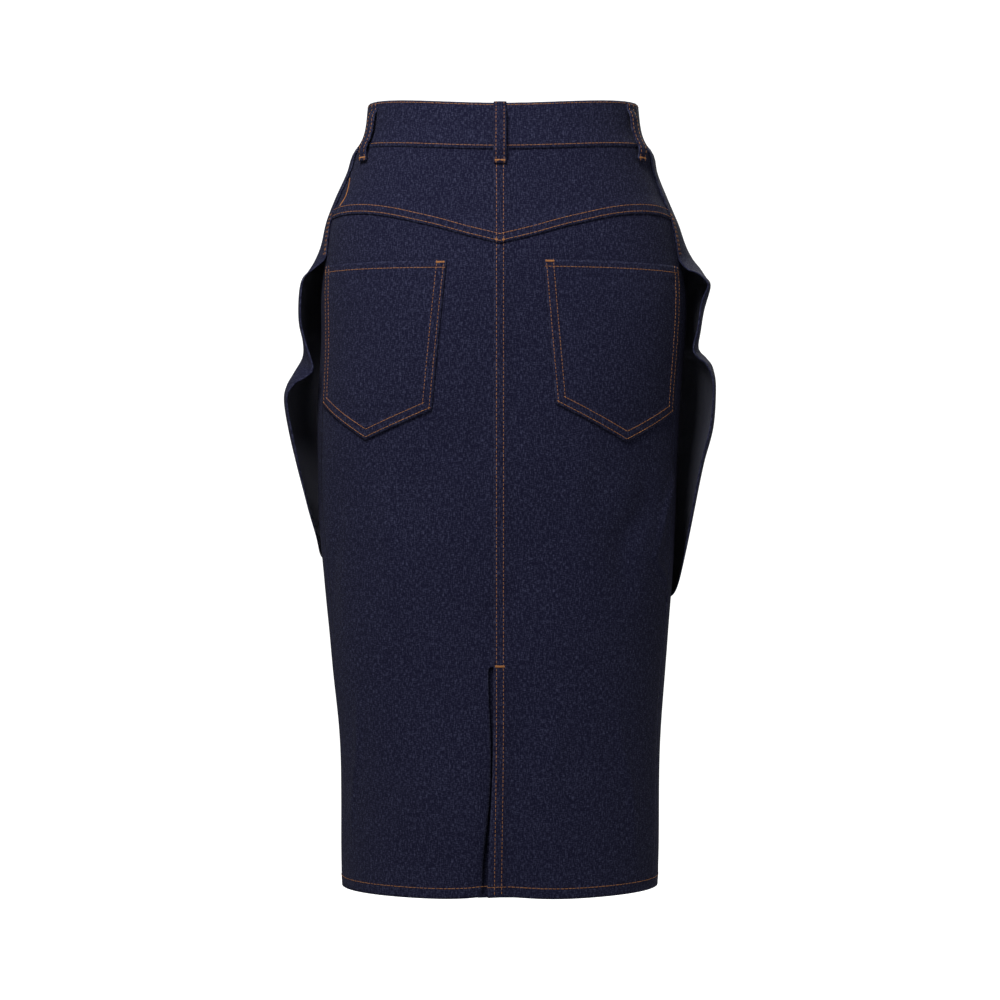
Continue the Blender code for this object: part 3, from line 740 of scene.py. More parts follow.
def make_pocket(side_name, side):
    """Pointed patch pocket on the back panel."""
    corners = POCKETS[side_name]
    tip_share = ((corners["tip"][0] - corners["inner_bottom"][0])
                 / (corners["outer_bottom"][0] - corners["inner_bottom"][0]))
    shares = np.concatenate((np.linspace(0.0, tip_share, 31), np.linspace(tip_share, 1.0, 28)[1:]))
    down = np.linspace(0.0, 1.0, 72)[:, None, None]
    inner, tip, outer = (np.array(corners[name]) for name in ("inner_bottom", "tip", "outer_bottom"))
    part = np.clip(shares / tip_share, 0.0, 1.0)[:, None]
    rest = np.clip((shares - tip_share) / (1.0 - tip_share), 0.0, 1.0)[:, None]
    low = np.where(shares[:, None] <= tip_share, inner + (tip - inner) * part, tip + (outer - tip) * rest)
    top_ends = np.array(corners["inner_top"]), np.array(corners["outer_top"])
    top = top_ends[0] + (top_ends[1] - top_ends[0]) * shares[:, None]
    place = top * (1.0 - down) + low * down
    distance, height = in_order(side, side * place[..., 0], place[..., 1])
    out = pocket_face(corners, distance, height, side)
    piece = shell(f"denim_pocket_{side_name}", turn_of(distance, height), height, out, POCKET_CLOTH,
                  lined())
    return finish_piece(piece, f"back_pocket_{side_name}")


def beside_body(x, y, height, side):
    """Turn of the body point nearest to a place at a height, and how far out the place stands."""
    ring_x, ring_y, length = half_ring(height, side)
    reach = np.linspace(0.0, length[-1], NEAR_STEPS)
    near_x = np.interp(reach, length, side * ring_x)
    near_y = np.interp(reach, length, ring_y)
    away = np.hypot(near_x - x, near_y - y)
    nearest = int(away.argmin())
    outside = np.hypot(x, y) > np.hypot(near_x[nearest], near_y[nearest])
    return reach[nearest] / length[-1], away[nearest] if outside else -away[nearest]


def drape_station(row, side):
    """A station's front height, then turn, stand-off and height of its side line and back edge."""
    front_z, side_x, side_y, side_z, edge_x, edge_y, edge_z = row
    side_turn, side_out = beside_body(side_x, side_y, side_z, side)
    edge_turn, edge_out = beside_body(edge_x, edge_y, edge_z, side)
    return (front_z, side_turn, side_out - DRAPE_INNER, side_z,
            edge_turn, edge_out - DRAPE_INNER, edge_z)


def drape_grid(side_name, side):
    """Turns, heights and outer stand-offs over a hip drape, top to foot, back edge to front."""
    table = np.array([drape_station(row, side) for row in DRAPES[side_name]])
    stations = np.arange(len(table), dtype=float)
    places = np.array(DRAPE_ACROSS)
    shares = np.linspace(1.0, 0.0, DRAPE_COLUMNS)
    top_turn = np.linspace(SIDE_SEAM + 0.002, DRAPE_FRONT, DRAPE_COLUMNS)
    top = np.stack((top_turn, np.full(DRAPE_COLUMNS, DRAPE_OUT), waist_seam(top_turn) - SEAM_GAP / 2), -1)
    rows = []
    for station in np.linspace(0.0, stations[-1], DRAPE_ROWS):
        front_z, *others = value_at(table, stations, station)
        guides = np.array(((DRAPE_FRONT, DRAPE_OUT, front_z), others[:3], others[3:]))
        rows.append([value_at(guides, places, share) for share in shares])
    rows = np.array(rows)
    upper = [top + (rows[0] - top) * share for share in np.linspace(0.0, 1.0, 14)[:-1]]
    grid = np.concatenate((np.array(upper), rows))
    out = np.maximum(grid[..., 1], DRAPE_OUT) + DENIM
    return side * grid[..., 0], grid[..., 2], out


def make_drape(side_name, side):
    """Hip drape, which hangs free below the upper side seam in two lobes."""
    turn, height, out = in_order(side, *drape_grid(side_name, side))
    points = on_body(turn, height, out)
    uv = np.stack((reach_along(points, 1), -reach_along(points, 0)), -1)
    piece = shell(f"denim_hip_drape_{side_name}", turn, height, out, DENIM, lined(), uv=uv)
    return finish_piece(piece, f"hip_drape_{side_name}")


def make_underlap():
    """Strip inside the vent, behind its lapped edge."""
    height = np.linspace(VENT_TOP + 0.012, float(hem_line(0.0)) - 0.0022, 60)[:, None]
    share = np.linspace(0.0, 1.0, 14)[None, :]
    edge = centre_back_edge(height)
    distance = edge + UNDERLAP[0] + LAP + (UNDERLAP[1] - UNDERLAP[0] - LAP) * share
    height = np.broadcast_to(height, distance.shape)
    sink = vent_out(np.minimum(distance, edge), height, -1.0)
    piece = shell("denim_vent_underlap", turn_of(distance, height), height, sink - VENT_DEPTH, DENIM, lined())
    return finish_piece(piece, "vent_underlap")


def loop_path(turns):
    """Heights and outer stand-offs down a belt loop."""
    seam = float(waist_seam(np.array(turns[0])))
    top = seam + BAND_HEIGHT + 0.0010
    if 0.2 < abs(turns[0]) < SIDE_SEAM:
        top -= SIDE_LOOP_DROP
    bottom = seam - LOOP_BELOW
    on_band = BAND_FACE + LOOP_CLOTH + 0.0002
    on_skirt = DENIM + LAP_RISE + LOOP_CLOTH + LAY_GAP
    if abs(turns[0]) > SIDE_SEAM:
        on_skirt += DENIM + LAY_GAP
    path = np.array((
        (top, on_band), (top - 0.005, on_band), (top - 0.009, on_band + 0.5 * LOOP_RISE),
        (top - 0.014, on_band + 0.8 * LOOP_RISE), (seam + 0.010, on_band + 0.8 * LOOP_RISE),
        (seam - 0.002, on_band + 0.7 * LOOP_RISE), (seam - 0.008, on_skirt + 0.3 * LOOP_RISE),
        (seam - 0.0105, on_skirt + 0.0002), (bottom, on_skirt + 0.0002)))
    return top, bottom, path


def loop_out(turns, height):
    """Outer stand-off of a belt loop at heights."""
    _, _, path = loop_path(turns)
    return np.interp(height, path[::-1, 0], path[::-1, 1])


def loop_middle(turns, height):
    """Turn of a belt loop's middle at heights."""
    top, bottom, _ = loop_path(turns)
    return turns[0] + (turns[1] - turns[0]) * (top - height) / (top - bottom)


def make_belt_loop(name, turns):
    """Belt loop with folded sides, sewn down at both ends."""
    top, bottom, _ = loop_path(turns)
    height = np.linspace(top, bottom, 46)[:, None]
    step = np.linspace(-1.0, 1.0, 13)[None, :]
    height, step = np.broadcast_arrays(height, step)
    half = LOOP_WIDTH / 2 / girth_at(height, 1.0)
    to_side = np.abs(step)
    rounded = -0.0007 * to_side ** 6 - 0.0003 * np.exp(-((to_side - 0.62) / 0.16) ** 2)
    out = loop_out(turns, height) + rounded + 0.0003 * ease(1.0 - to_side / 0.4)
    turn = loop_middle(turns, height) + half * step
    piece = shell(f"denim_{name}", turn, height, out, LOOP_CLOTH, doubled())
    return finish_piece(piece, name)


# Thread: rows of stitches and bar tacks, laid by one Geometry Nodes tree

def add_node(tree, kind, inputs=None, **settings):
    """Node with its settings and inputs; an input may be a value or the socket that feeds it."""
    made = tree.nodes.new(kind)
    for key, value in settings.items():
        setattr(made, key, value)
    for key, value in (inputs or {}).items():
        if isinstance(value, bpy.types.NodeSocket):
            tree.links.new(value, made.inputs[key])
        else:
            made.inputs[key].default_value = value
    return made


def maths(tree, operation, *values, **settings):
    """What a Math node gives; each of its values may be a number or the socket that feeds it."""
    made = add_node(tree, "ShaderNodeMath", dict(enumerate(values)), operation=operation, **settings)
    return made.outputs[0]


def new_tree(name, kind, sockets):
    """Node group with named inputs and outputs: (name, in or out, socket type, default)."""
    tree = bpy.data.node_groups.new(name, kind)
    for label, way, socket, default in sockets:
        made = tree.interface.new_socket(name=label, in_out=way, socket_type=socket)
        if default is not None:
            made.default_value = default
    return tree


def thread_tree():
    """Lays bent lengths of thread along guide lines; ends in real mesh."""
    tree = new_tree("lay_thread", "GeometryNodeTree", (
        ("Geometry", "INPUT", "NodeSocketGeometry", None),
        ("Pitch", "INPUT", "NodeSocketFloat", 0.0038),
        ("Length", "INPUT", "NodeSocketFloat", 0.0030),
        ("Radius", "INPUT", "NodeSocketFloat", 0.0003),
        ("Unevenness", "INPUT", "NodeSocketFloat", 0.08),
        ("Seed", "INPUT", "NodeSocketInt", 4),
        ("Thread", "INPUT", "NodeSocketMaterial", None),
        ("Geometry", "OUTPUT", "NodeSocketGeometry", None),
    ))
    ins = add_node(tree, "NodeGroupInput").outputs
    guides = add_node(tree, "GeometryNodeMeshToCurve", {"Mesh": ins["Geometry"]})
    spaced = add_node(tree, "GeometryNodeResampleCurve",
                      {"Curve": guides.outputs[0], "Length": ins["Pitch"]}, mode="LENGTH")
    run, face = (add_node(tree, "GeometryNodeInputNamedAttribute", {"Name": name}, data_type="FLOAT_VECTOR")
                 for name in ("run", "face"))
    along = add_node(tree, "FunctionNodeAlignRotationToVector",
                     {"Vector": run.outputs["Attribute"]}, axis="X")
    upright = add_node(tree, "FunctionNodeAlignRotationToVector",
                       {"Rotation": along.outputs[0], "Vector": face.outputs["Attribute"]},
                       axis="Z", pivot_axis="X")
    sunk = maths(tree, "MULTIPLY", ins["Radius"], -1.0)
    raised = maths(tree, "MULTIPLY", ins["Radius"], 1.2)
    halves = (maths(tree, "MULTIPLY", ins["Length"], share) for share in (-0.5, 0.5))
    start, end = (add_node(tree, "ShaderNodeCombineXYZ", {"X": half, "Z": sunk}) for half in halves)
    middle = add_node(tree, "ShaderNodeCombineXYZ", {"Z": raised})
    bent = add_node(tree, "GeometryNodeCurveQuadraticBezier", {
        "Resolution": 4, "Start": start.outputs[0], "Middle": middle.outputs[0], "End": end.outputs[0]})
    ring = add_node(tree, "GeometryNodeCurvePrimitiveCircle", {"Resolution": 6, "Radius": ins["Radius"]})
    length = add_node(tree, "GeometryNodeCurveToMesh", {
        "Curve": bent.outputs[0], "Profile Curve": ring.outputs[0], "Fill Caps": True})
    size = add_node(tree, "FunctionNodeRandomValue", {
        "Seed": ins["Seed"], 2: maths(tree, "SUBTRACT", 1.0, ins["Unevenness"]),
        3: maths(tree, "ADD", 1.0, ins["Unevenness"])}, data_type="FLOAT")
    laid = add_node(tree, "GeometryNodeInstanceOnPoints", {
        "Points": spaced.outputs[0], "Instance": length.outputs[0],
        "Rotation": upright.outputs[0], "Scale": size.outputs[1]})
    real = add_node(tree, "GeometryNodeRealizeInstances", {0: laid.outputs[0]})
    smooth = add_node(tree, "GeometryNodeSetShadeSmooth", {0: real.outputs[0]})
    finish = add_node(tree, "GeometryNodeSetMaterial", {0: smooth.outputs[0], "Material": ins["Thread"]})
    add_node(tree, "NodeGroupOutput", {0: finish.outputs[0]})
    return tree


def set_input(modifier, label, value):
    """Set a Geometry Nodes input by its socket's identifier."""
    for item in modifier.node_group.interface.items_tree:
        if item.in_out == "INPUT" and item.name == label:
            modifier[item.identifier] = value
            return
    raise RuntimeError(f"the tree has no input named {label}")


def lay_thread(name, rows, pitch, length, radius, across=False):
    """Mesh of thread along rows; a row is (points, the cloth's outward directions)."""
    points, edges, runs, faces = [], [], [], []
    for line, normals in rows:
        tangent = np.gradient(line, axis=0)
        tangent /= np.linalg.norm(tangent, axis=1, keepdims=True)
        run = np.cross(tangent, normals) if across else tangent
        first = len(points)
        points += (line + normals * THREAD_STAND).tolist()
        runs += run.tolist()
        faces += normals.tolist()
        edges += [(first + step, first + step + 1) for step in range(len(line) - 1)]
    mesh = bpy.data.meshes.new(name)
    mesh.from_pydata(points, edges, [])
    mesh.attributes.new("run", "FLOAT_VECTOR", "POINT").data.foreach_set("vector", np.ravel(runs))
    mesh.attributes.new("face", "FLOAT_VECTOR", "POINT").data.foreach_set("vector", np.ravel(faces))
    made = new_object(name, mesh)
    layer = made.modifiers.new("thread", "NODES")
    layer.node_group = bpy.data.node_groups.get("lay_thread") or thread_tree()
    set_input(layer, "Pitch", pitch)
    set_input(layer, "Length", length)
    set_input(layer, "Radius", radius)
    set_input(layer, "Thread", bpy.data.materials["orange_thread"])
    depsgraph = bpy.context.evaluated_depsgraph_get()
    done = bpy.data.meshes.new_from_object(made.evaluated_get(depsgraph))
    made.modifiers.remove(layer)
    made.data = done
    done.name = name
    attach(made, "root")
    return made


def row_on(turn, height, out):
    """Row of stitches at turns and heights, with the cloth's outward directions."""
    turn, height, out = np.broadcast_arrays(*(np.asarray(each, float) for each in (turn, height, out)))
    normal_x, normal_y = outward(turn, height)
    return on_body(turn, height, out), np.stack((normal_x, normal_y, np.zeros_like(normal_x)), -1)


def cloth_row(distance, height, out):
    """Row of stitches at cloth distances from the centre back."""
    return row_on(turn_of(distance, height), height, out)


def front_row(turn, height, side):
    """Row of stitches on a front panel."""
    return row_on(turn, height, front_face(turn, height, side))


def pocket_row(corners, distance, height, side):
    """Row of stitches on a patch pocket."""
    return cloth_row(distance, height, pocket_face(corners, distance, height, side))


def back_face(distance, height, side):
    """Outer face of the back, yoke above its seam and panel below it."""
    on_yoke = yoke_face(distance, height, side)
    return np.where(height > yoke_seam(distance), on_yoke, panel_face(distance, height, side))


def inset_line(corners, inset):
    """A pocket's outline down one side, round its point and up the other, moved in."""
    outline = [np.array(point) for point in pocket_outline(corners)]
    lines = []
    for start, end in zip(outline[:-1], outline[1:]):
        run = (end - start) / np.linalg.norm(end - start)
        inward = np.array((-run[1], run[0]))
        lines.append((start + inward * inset, run))
    points = [lines[0][0]]
    for (base, run), (other, turned) in zip(lines[:-1], lines[1:]):
        share = np.linalg.solve(np.stack((run, -turned), -1), other - base)[0]
        points.append(base + run * share)
    last_base, last_run = lines[-1]
    points.append(last_base + last_run * ((outline[-1] - last_base) @ last_run))
    return np.array(points)


def along_line(points, spacing=0.0015):
    """Points close together along a line of corners."""
    reach = reach_along(points)
    places = np.linspace(0.0, reach[-1], count_for(reach[-1], spacing))
    return np.stack([np.interp(places, reach, points[:, axis]) for axis in range(points.shape[1])], -1)


def back_rows():
    """Rows down the centre back, along the yoke seams and above the hem, on the back panels."""
    rows = []
    height = np.linspace(SEAM_AT_BACK - ROW_START, HEM + ROW_END, ROW_POINTS)
    for step in (-TWIN / 2, TWIN / 2):
        distance = step + (centre_back_edge(height) + LAP) * ROW_DRIFT
        rows.append(cloth_row(distance, height, back_face(distance, height, 1.0)))
    distance = np.linspace(-YOKE_ROW_END, YOKE_ROW_END, 400)
    for above in (EDGE_ROW, EDGE_ROW + TWIN):
        height = yoke_seam(distance) + above
        over = yoke_face(distance, height, 1.0)
        out = np.where(distance > -LAP, over, yoke_face(distance, height, -1.0))
        rows.append(cloth_row(distance, height, out))
    for side in (-1.0, 1.0):
        end = side * SIDE_SEAM * girth_at(HEM, side)
        begin = float(centre_back_edge(HEM)) + (0.001 if side > 0.0 else -0.002)
        distance = np.linspace(begin, end, 150)
        height = hem_line(distance) + HEM_ROW
        rows.append(cloth_row(distance, height, panel_face(distance, height, side)))
    return rows


def pocket_rows():
    """Twin rows round the patch pockets and one across their hems."""
    rows = []
    for side_name, side in SIDES:
        corners = POCKETS[side_name]
        lines = [inset_line(corners, EDGE_ROW), inset_line(corners, EDGE_ROW + TWIN)]
        inner, outer = (np.array(corners[name]) for name in ("inner_top", "outer_top"))
        down = np.array((0.0, -POCKET_HEM_ROW))
        inward = np.array((EDGE_ROW, 0.0))
        lines.append(np.array((inner + down + inward, outer + down - inward)))
        for line in lines[:2]:
            line[0, 1] -= TACK_DROP
            line[-1, 1] -= TACK_DROP
        parts = [part for line in lines[:2] for part in (line[:2], line[1:4], line[3:])]
        for line in parts + lines[2:]:
            place = along_line(line)
            rows.append(pocket_row(corners, side * place[:, 0], place[:, 1], side))
    return rows


def waist_rows():
    """Rows along both edges of the waistband and down both sides of each belt loop."""
    rows = []
    turn = np.linspace(-0.995, 0.985, 900)
    for up in (BAND_ROW, BAND_HEIGHT - BAND_ROW):
        height = waist_seam(turn) + up
        rows.append(row_on(turn, height, band_face(turn, height)))
    for turns in LOOPS.values():
        top, bottom, _ = loop_path(turns)
        height = np.linspace(top - 0.001, bottom + 0.001, 60)
        for step in (-LOOP_ROW, LOOP_ROW):
            turn = loop_middle(turns, height) + step / girth_at(height, 1.0)
            rows.append(row_on(turn, height, loop_out(turns, height) - LOOP_ROW_SINK))
    return rows


def front_rows():
    """Rows on the front: hem, centre front, fly, drape seams and the drapes' upper side seams."""
    rows = []
    for side_name, side in SIDES:
        turn = np.linspace(side * SIDE_SEAM, side * 0.998, 240)
        rows.append(front_row(turn, np.full_like(turn, HEM - HEM_SAG + HEM_ROW), side))
        drape = drape_grid(side_name, side)
        edge_height = drape[1][:, 0]
        sewn = (edge_height > DRAPE_SEWN[0]) & (edge_height < DRAPE_SEWN[1])
        for column in DRAPE_ROWS_AT:
            rows.append(row_on(*(each[sewn, column] for each in drape)))
        rows.append(row_on(*(each[:, -2] for each in drape)))
    height = np.linspace(SEAM_AT_FRONT - ROW_START, HEM + ROW_END, ROW_POINTS)
    for reach in (LAP - EDGE_ROW, LAP - EDGE_ROW - TWIN):
        turn = -1.0 - reach / girth_at(height, -1.0)
        rows.append(front_row(turn, height, -1.0))
    bend = np.linspace(0.0, pi / 2, 40)
    down = np.linspace(SEAM_AT_FRONT - ROW_START, SEAM_AT_FRONT - FLY_LENGTH + FLY_WIDTH, 90)
    for width in (FLY_WIDTH, FLY_WIDTH - TWIN):
        reach = np.concatenate((np.full_like(down, width), width * np.cos(bend)))
        height = np.concatenate((down, down[-1] - width * np.sin(bend)))
        turn = -1.0 + reach / girth_at(height, -1.0)
        rows.append(front_row(turn, height, -1.0))
    return rows


def is_upright(row):
    """True for a row that runs more up than across."""
    span = np.ptp(row[0], axis=0)
    return span[2] > max(span[0], span[1])


def make_topstitching():
    """All rows of topstitching, a piece for each part of the skirt."""
    look = bpy.context.scene.skirt_look
    for name, rows, scale in (("back", back_rows(), 1.0), ("pockets", pocket_rows(), 0.9),
                              ("waist", waist_rows(), 1.0), ("front", front_rows(), 1.0)):
        pitch = look.stitch_pitch * scale
        upright = [is_upright(row) for row in rows]
        for ending, wanted, share in (("upright", True, UPRIGHT_SHARE), ("level", False, LEVEL_SHARE)):
            chosen = [row for row, stands in zip(rows, upright) if stands == wanted]
            lay_thread(f"topstitch_{name}_{ending}", chosen, pitch, pitch * share, look.thread_radius)


def make_bar_tacks():
    """Bar tacks: dense thread across each place that takes a pull."""
    rows = []
    for turns in LOOPS.values():
        _, bottom, _ = loop_path(turns)
        height = bottom + LOOP_TACK[0]
        half = LOOP_TACK[1] / float(girth_at(height, 1.0))
        turn = np.linspace(turns[1] - half, turns[1] + half, TACK_POINTS)
        rows.append(row_on(turn, height, loop_out(turns, height)))
    for side_name, side in SIDES:
        corners = POCKETS[side_name]
        near = corners["inner_top"][0] + EDGE_ROW - 0.0006
        distance = side * np.linspace(near, near + TWIN + 0.0012, TACK_POINTS)
        height = np.full_like(distance, corners["inner_top"][1] - TACK_DROP)
        rows.append(pocket_row(corners, distance, height, side))
    distance = np.linspace(-VENT_TACK, VENT_TACK, TACK_POINTS)
    height = np.full_like(distance, VENT_TOP)
    rows.append(cloth_row(distance, height, panel_face(distance, height, 1.0)))
    for place in (-TWIN / 2, TWIN / 2):
        distance = np.linspace(place - SEAM_TACK, place + SEAM_TACK, 5)
        height = yoke_seam(distance) + EDGE_ROW
        rows.append(cloth_row(distance, height, yoke_face(distance, height, 1.0)))
    lay_thread("bar_tacks", rows, TACK_PITCH, *TACK_THREAD, across=True)
    share = np.linspace(0.0, 1.0, 28)
    upper, lower = np.array(YOKE_TACK)
    tack = upper + (lower - upper) * share[:, None]
    tack[:, 0] += YOKE_TACK_BOW * 4.0 * share * (1.0 - share)
    row = cloth_row(*tack.T, yoke_face(*tack.T, -1.0))
    lay_thread("yoke_tack", [row], TACK_PITCH, *YOKE_TACK_THREAD, across=True)


def make_zip():
    """Zip tape and its row of teeth, behind the fly; the slider is the frame's own."""
    girth = float(girth_at(SEAM_AT_FRONT, 1.0))
    height = np.linspace(SEAM_AT_FRONT - 0.002, SEAM_AT_FRONT - FLY_LENGTH, 90)[:, None]
    across = np.linspace(-1.0, 1.0, 25)[None, :]
    height, across = np.broadcast_arrays(height, across)
    bow = (SLIDER[1] + SEAM_GAP) * ease((0.55 - np.abs(across)) / 0.20)
    tape = shell("zip_tape_piece", 1.0 + across * ZIP_HALF_WIDTH / girth, height, -LAY_GAP - bow, ZIP_TAPE,
                 (bpy.data.materials["woven_tape"],) * 2)
    finish_piece(tape, "fly_zip")
    line = np.linspace(SEAM_AT_FRONT - 0.022, SEAM_AT_FRONT - FLY_LENGTH + 0.004, 90)
    row = row_on(1.0, line, -LAY_GAP - SLIDER[1] - SEAM_GAP + 0.0004)
    teeth = lay_thread("zip_teeth", [row], *ZIP_TOOTH, across=True)
    teeth.data.materials[0] = bpy.data.materials["worn_copper"]
    for name in ("zip_slider", "waist_button"):
        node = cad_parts[name]
        node.data.materials.clear()
        node.data.materials.append(bpy.data.materials["worn_copper"])


# Finishes

def noise(tree, place, scale, detail):
    """What a noise texture gives."""
    made = add_node(tree, "ShaderNodeTexNoise", {"Vector": place, "Scale": scale, "Detail": detail})
    return made.outputs[0]


def drawn_noise(tree, cloth, scales, detail):
    """Noise with its own scale across the cloth and up it."""
    place = add_node(tree, "ShaderNodeVectorMath", {0: cloth, 1: scales}, operation="MULTIPLY")
    return noise(tree, place.outputs[0], 1.0, detail)


def weave_group():
    """Denim weave: heathered warp yarns, a diagonal twill and flecks of weft."""
    tree = new_tree("denim_weave", "ShaderNodeTree", (
        ("Indigo", "INPUT", "NodeSocketColor", (0.015, 0.015, 0.036, 1.0)),
        ("Faded", "INPUT", "NodeSocketColor", (0.06, 0.06, 0.10, 1.0)),
        ("Heather", "INPUT", "NodeSocketFloat", 0.5),
        ("Wear", "INPUT", "NodeSocketFloat", 0.0),
        ("Colour", "OUTPUT", "NodeSocketColor", None),
        ("Height", "OUTPUT", "NodeSocketFloat", None),
    ))
    ins = add_node(tree, "NodeGroupInput").outputs
    cloth = add_node(tree, "ShaderNodeUVMap", uv_map="cloth").outputs[0]
    place = add_node(tree, "ShaderNodeSeparateXYZ", {0: cloth})
    across, up = (maths(tree, "MULTIPLY", place.outputs[axis], TWILL[axis]) for axis in (0, 1))
    twill = maths(tree, "SINE", maths(tree, "ADD", across, up))
    slub = drawn_noise(tree, cloth, SLUB, 2.0)
    yarns = maths(tree, "ADD", slub, drawn_noise(tree, cloth, FLECK, 3.0))
    yarns = maths(tree, "MULTIPLY", maths(tree, "ADD", yarns, -1.0), ins["Heather"])
    object_place = add_node(tree, "ShaderNodeTexCoord").outputs["Object"]
    washed = maths(tree, "MULTIPLY", noise(tree, object_place, WASH, 2.0), WASH_SHARE)
    streaks = maths(tree, "ADD", drawn_noise(tree, cloth, STREAK, 2.0), -0.5)
    streaks = maths(tree, "MULTIPLY", streaks, STREAK_SHARE)
    rubbed = maths(tree, "MULTIPLY", ins["Wear"], WEAR_SHARE)
    tone = maths(tree, "MULTIPLY", twill, TWILL_SHARE)
    for part in (yarns, washed, streaks):
        tone = maths(tree, "ADD", tone, part)
    tone = maths(tree, "ADD", tone, rubbed, use_clamp=True)
    colour = add_node(tree, "ShaderNodeMix", {0: tone, 6: ins["Indigo"], 7: ins["Faded"]}, data_type="RGBA")
    height = maths(tree, "ADD", twill, slub)
    add_node(tree, "NodeGroupOutput", {"Colour": colour.outputs[2], "Height": height})
    return tree


def new_finish(name, looks):
    """Material with its shader's inputs set, its tree and its shader."""
    made = bpy.data.materials.new(name)
    made.use_nodes = True
    shader = made.node_tree.nodes["Principled BSDF"]
    for label, value in looks.items():
        shader.inputs[label].default_value = value
    return made, made.node_tree, shader


def cloth_finish(name, indigo, faded, heather, bump):
    """Denim of one shade."""
    made, tree, shader = new_finish(name, {"Roughness": 0.9, "Specular IOR Level": 0.10,
                                           "Sheen Weight": 0.02, "Sheen Roughness": 0.5})
    weave = add_node(tree, "ShaderNodeGroup")
    weave.node_tree = bpy.data.node_groups.get("denim_weave") or weave_group()
    weave.inputs["Indigo"].default_value = (*indigo, 1.0)
    weave.inputs["Faded"].default_value = (*faded, 1.0)
    weave.inputs["Heather"].default_value = heather
    wear = add_node(tree, "ShaderNodeAttribute", attribute_name="wear")
    tree.links.new(wear.outputs["Fac"], weave.inputs["Wear"])
    relief_bump = add_node(tree, "ShaderNodeBump", {"Height": weave.outputs["Height"], "Strength": bump,
                                                    "Distance": 0.0002})
    tree.links.new(weave.outputs["Colour"], shader.inputs["Base Color"])
    tree.links.new(relief_bump.outputs[0], shader.inputs["Normal"])
    return made


def spotted_finish(name, first, second, scale, roughness, metallic):
    """Finish whose colour wavers between two over small spots, with a matching bump."""
    made, tree, shader = new_finish(name, {"Roughness": roughness, "Metallic": metallic})
    place = add_node(tree, "ShaderNodeTexCoord").outputs["Object"]
    spots = noise(tree, place, scale, 3.0)
    colour = add_node(tree, "ShaderNodeMix", {0: spots, 6: (*first, 1.0), 7: (*second, 1.0)},
                      data_type="RGBA")
    bump = add_node(tree, "ShaderNodeBump", {"Height": spots, "Strength": 0.4, "Distance": 0.0002})
    tree.links.new(colour.outputs[2], shader.inputs["Base Color"])
    tree.links.new(bump.outputs[0], shader.inputs["Normal"])
    return made


def lined():
    """Finishes of one layer of denim: its face, and its paler, duller reverse."""
    return bpy.data.materials["denim_face"], bpy.data.materials["denim_back"]


def doubled():
    """Finishes of denim folded or sewn double, whose face shows on both sides."""
    return (bpy.data.materials["denim_face"],) * 2


def make_finishes():
    """Every finish that the pieces use."""
    look = bpy.context.scene.skirt_look
    cloth_finish("denim_face", look.indigo, look.faded, look.heather, 0.5)
    cloth_finish("denim_back", look.reverse, look.faded, look.heather * 0.6, 0.4)
    bright = np.array(look.thread)
    spotted_finish("orange_thread", tuple(bright * 0.75), tuple(bright * 1.15), 900.0, 0.65, 0.0)
    spotted_finish("worn_copper", look.copper, tuple(np.array(look.copper) * 0.6), 420.0, 0.34, 1.0)
    spotted_finish("woven_tape", (0.016, 0.016, 0.034), (0.028, 0.028, 0.05), 1500.0, 0.85, 0.0)


def camera_ray(tree):
    """1 for what the camera sees itself, 0 for the light that reaches the cloth."""
    return add_node(tree, "ShaderNodeLightPath").outputs["Is Camera Ray"]


def make_stage():
    """Pale round floor in a white room, soft lights and the camera."""
    floor = bpy.data.meshes.new("stage_floor")
    turns = np.linspace(0.0, 2.0 * pi, 65)[:-1]
    points = [(FLOOR_RADIUS * np.cos(turn), FLOOR_RADIUS * np.sin(turn), FLOOR_HEIGHT) for turn in turns]
    floor.from_pydata(points, [], [tuple(range(len(points)))])
    pale = spotted_finish("pale_stage", (0.58, 0.58, 0.58), (0.60, 0.60, 0.60), 3.0, 0.9, 0.0)
    floor.materials.append(pale)
    glow = pale.node_tree.nodes["Principled BSDF"]
    glow.inputs["Emission Color"].default_value = (1.0, 1.0, 1.0, 1.0)
    pale.node_tree.links.new(camera_ray(pale.node_tree), glow.inputs["Emission Strength"])
    stage = new_object("stage_floor", floor)
    for name, place, size, power in LAMPS:
        lamp = bpy.data.lights.new(name, "AREA")
        lamp.size = size
        lamp.energy = power * bpy.context.scene.skirt_look.light
        holder = new_object(name, lamp)
        holder.location = place
        aim = Vector(LAMP_TARGET) - Vector(place)
        holder.rotation_euler = aim.to_track_quat("-Z", "Y").to_euler()
    world = bpy.data.worlds.new("studio")
    bpy.context.scene.world = world
    world.use_nodes = True
    tree = world.node_tree
    sky = tree.nodes["Background"]
    strength = maths(tree, "ADD", maths(tree, "MULTIPLY", camera_ray(tree), ROOM_SEEN), ROOM_LIGHT)
    tree.links.new(strength, sky.inputs["Strength"])
    sky.inputs["Color"].default_value = (1.0, 1.0, 1.0, 1.0)
    lens = bpy.data.cameras.new("camera")
    lens.lens = FOCAL_LENGTH
    lens.sensor_width = SENSOR_WIDTH
    camera = new_object("camera", lens)
    camera.location = CAMERA_PLACE
    camera.rotation_euler = (pi / 2, 0.0, 0.0)
    bpy.context.scene.camera = camera
    bpy.context.scene.view_settings.view_transform = "Standard"


# The add-on

def colour(name, description, default):
    """Property that holds a colour."""
    return bpy.props.FloatVectorProperty(name=name, description=description, subtype="COLOR", size=3,
                                         min=0.0, max=1.0, default=default)


def amount(name, description, default, least, most, unit="NONE"):
    """Property that holds a size or a share."""
    return bpy.props.FloatProperty(name=name, description=description, default=default, min=least,
                                   max=most, unit=unit)


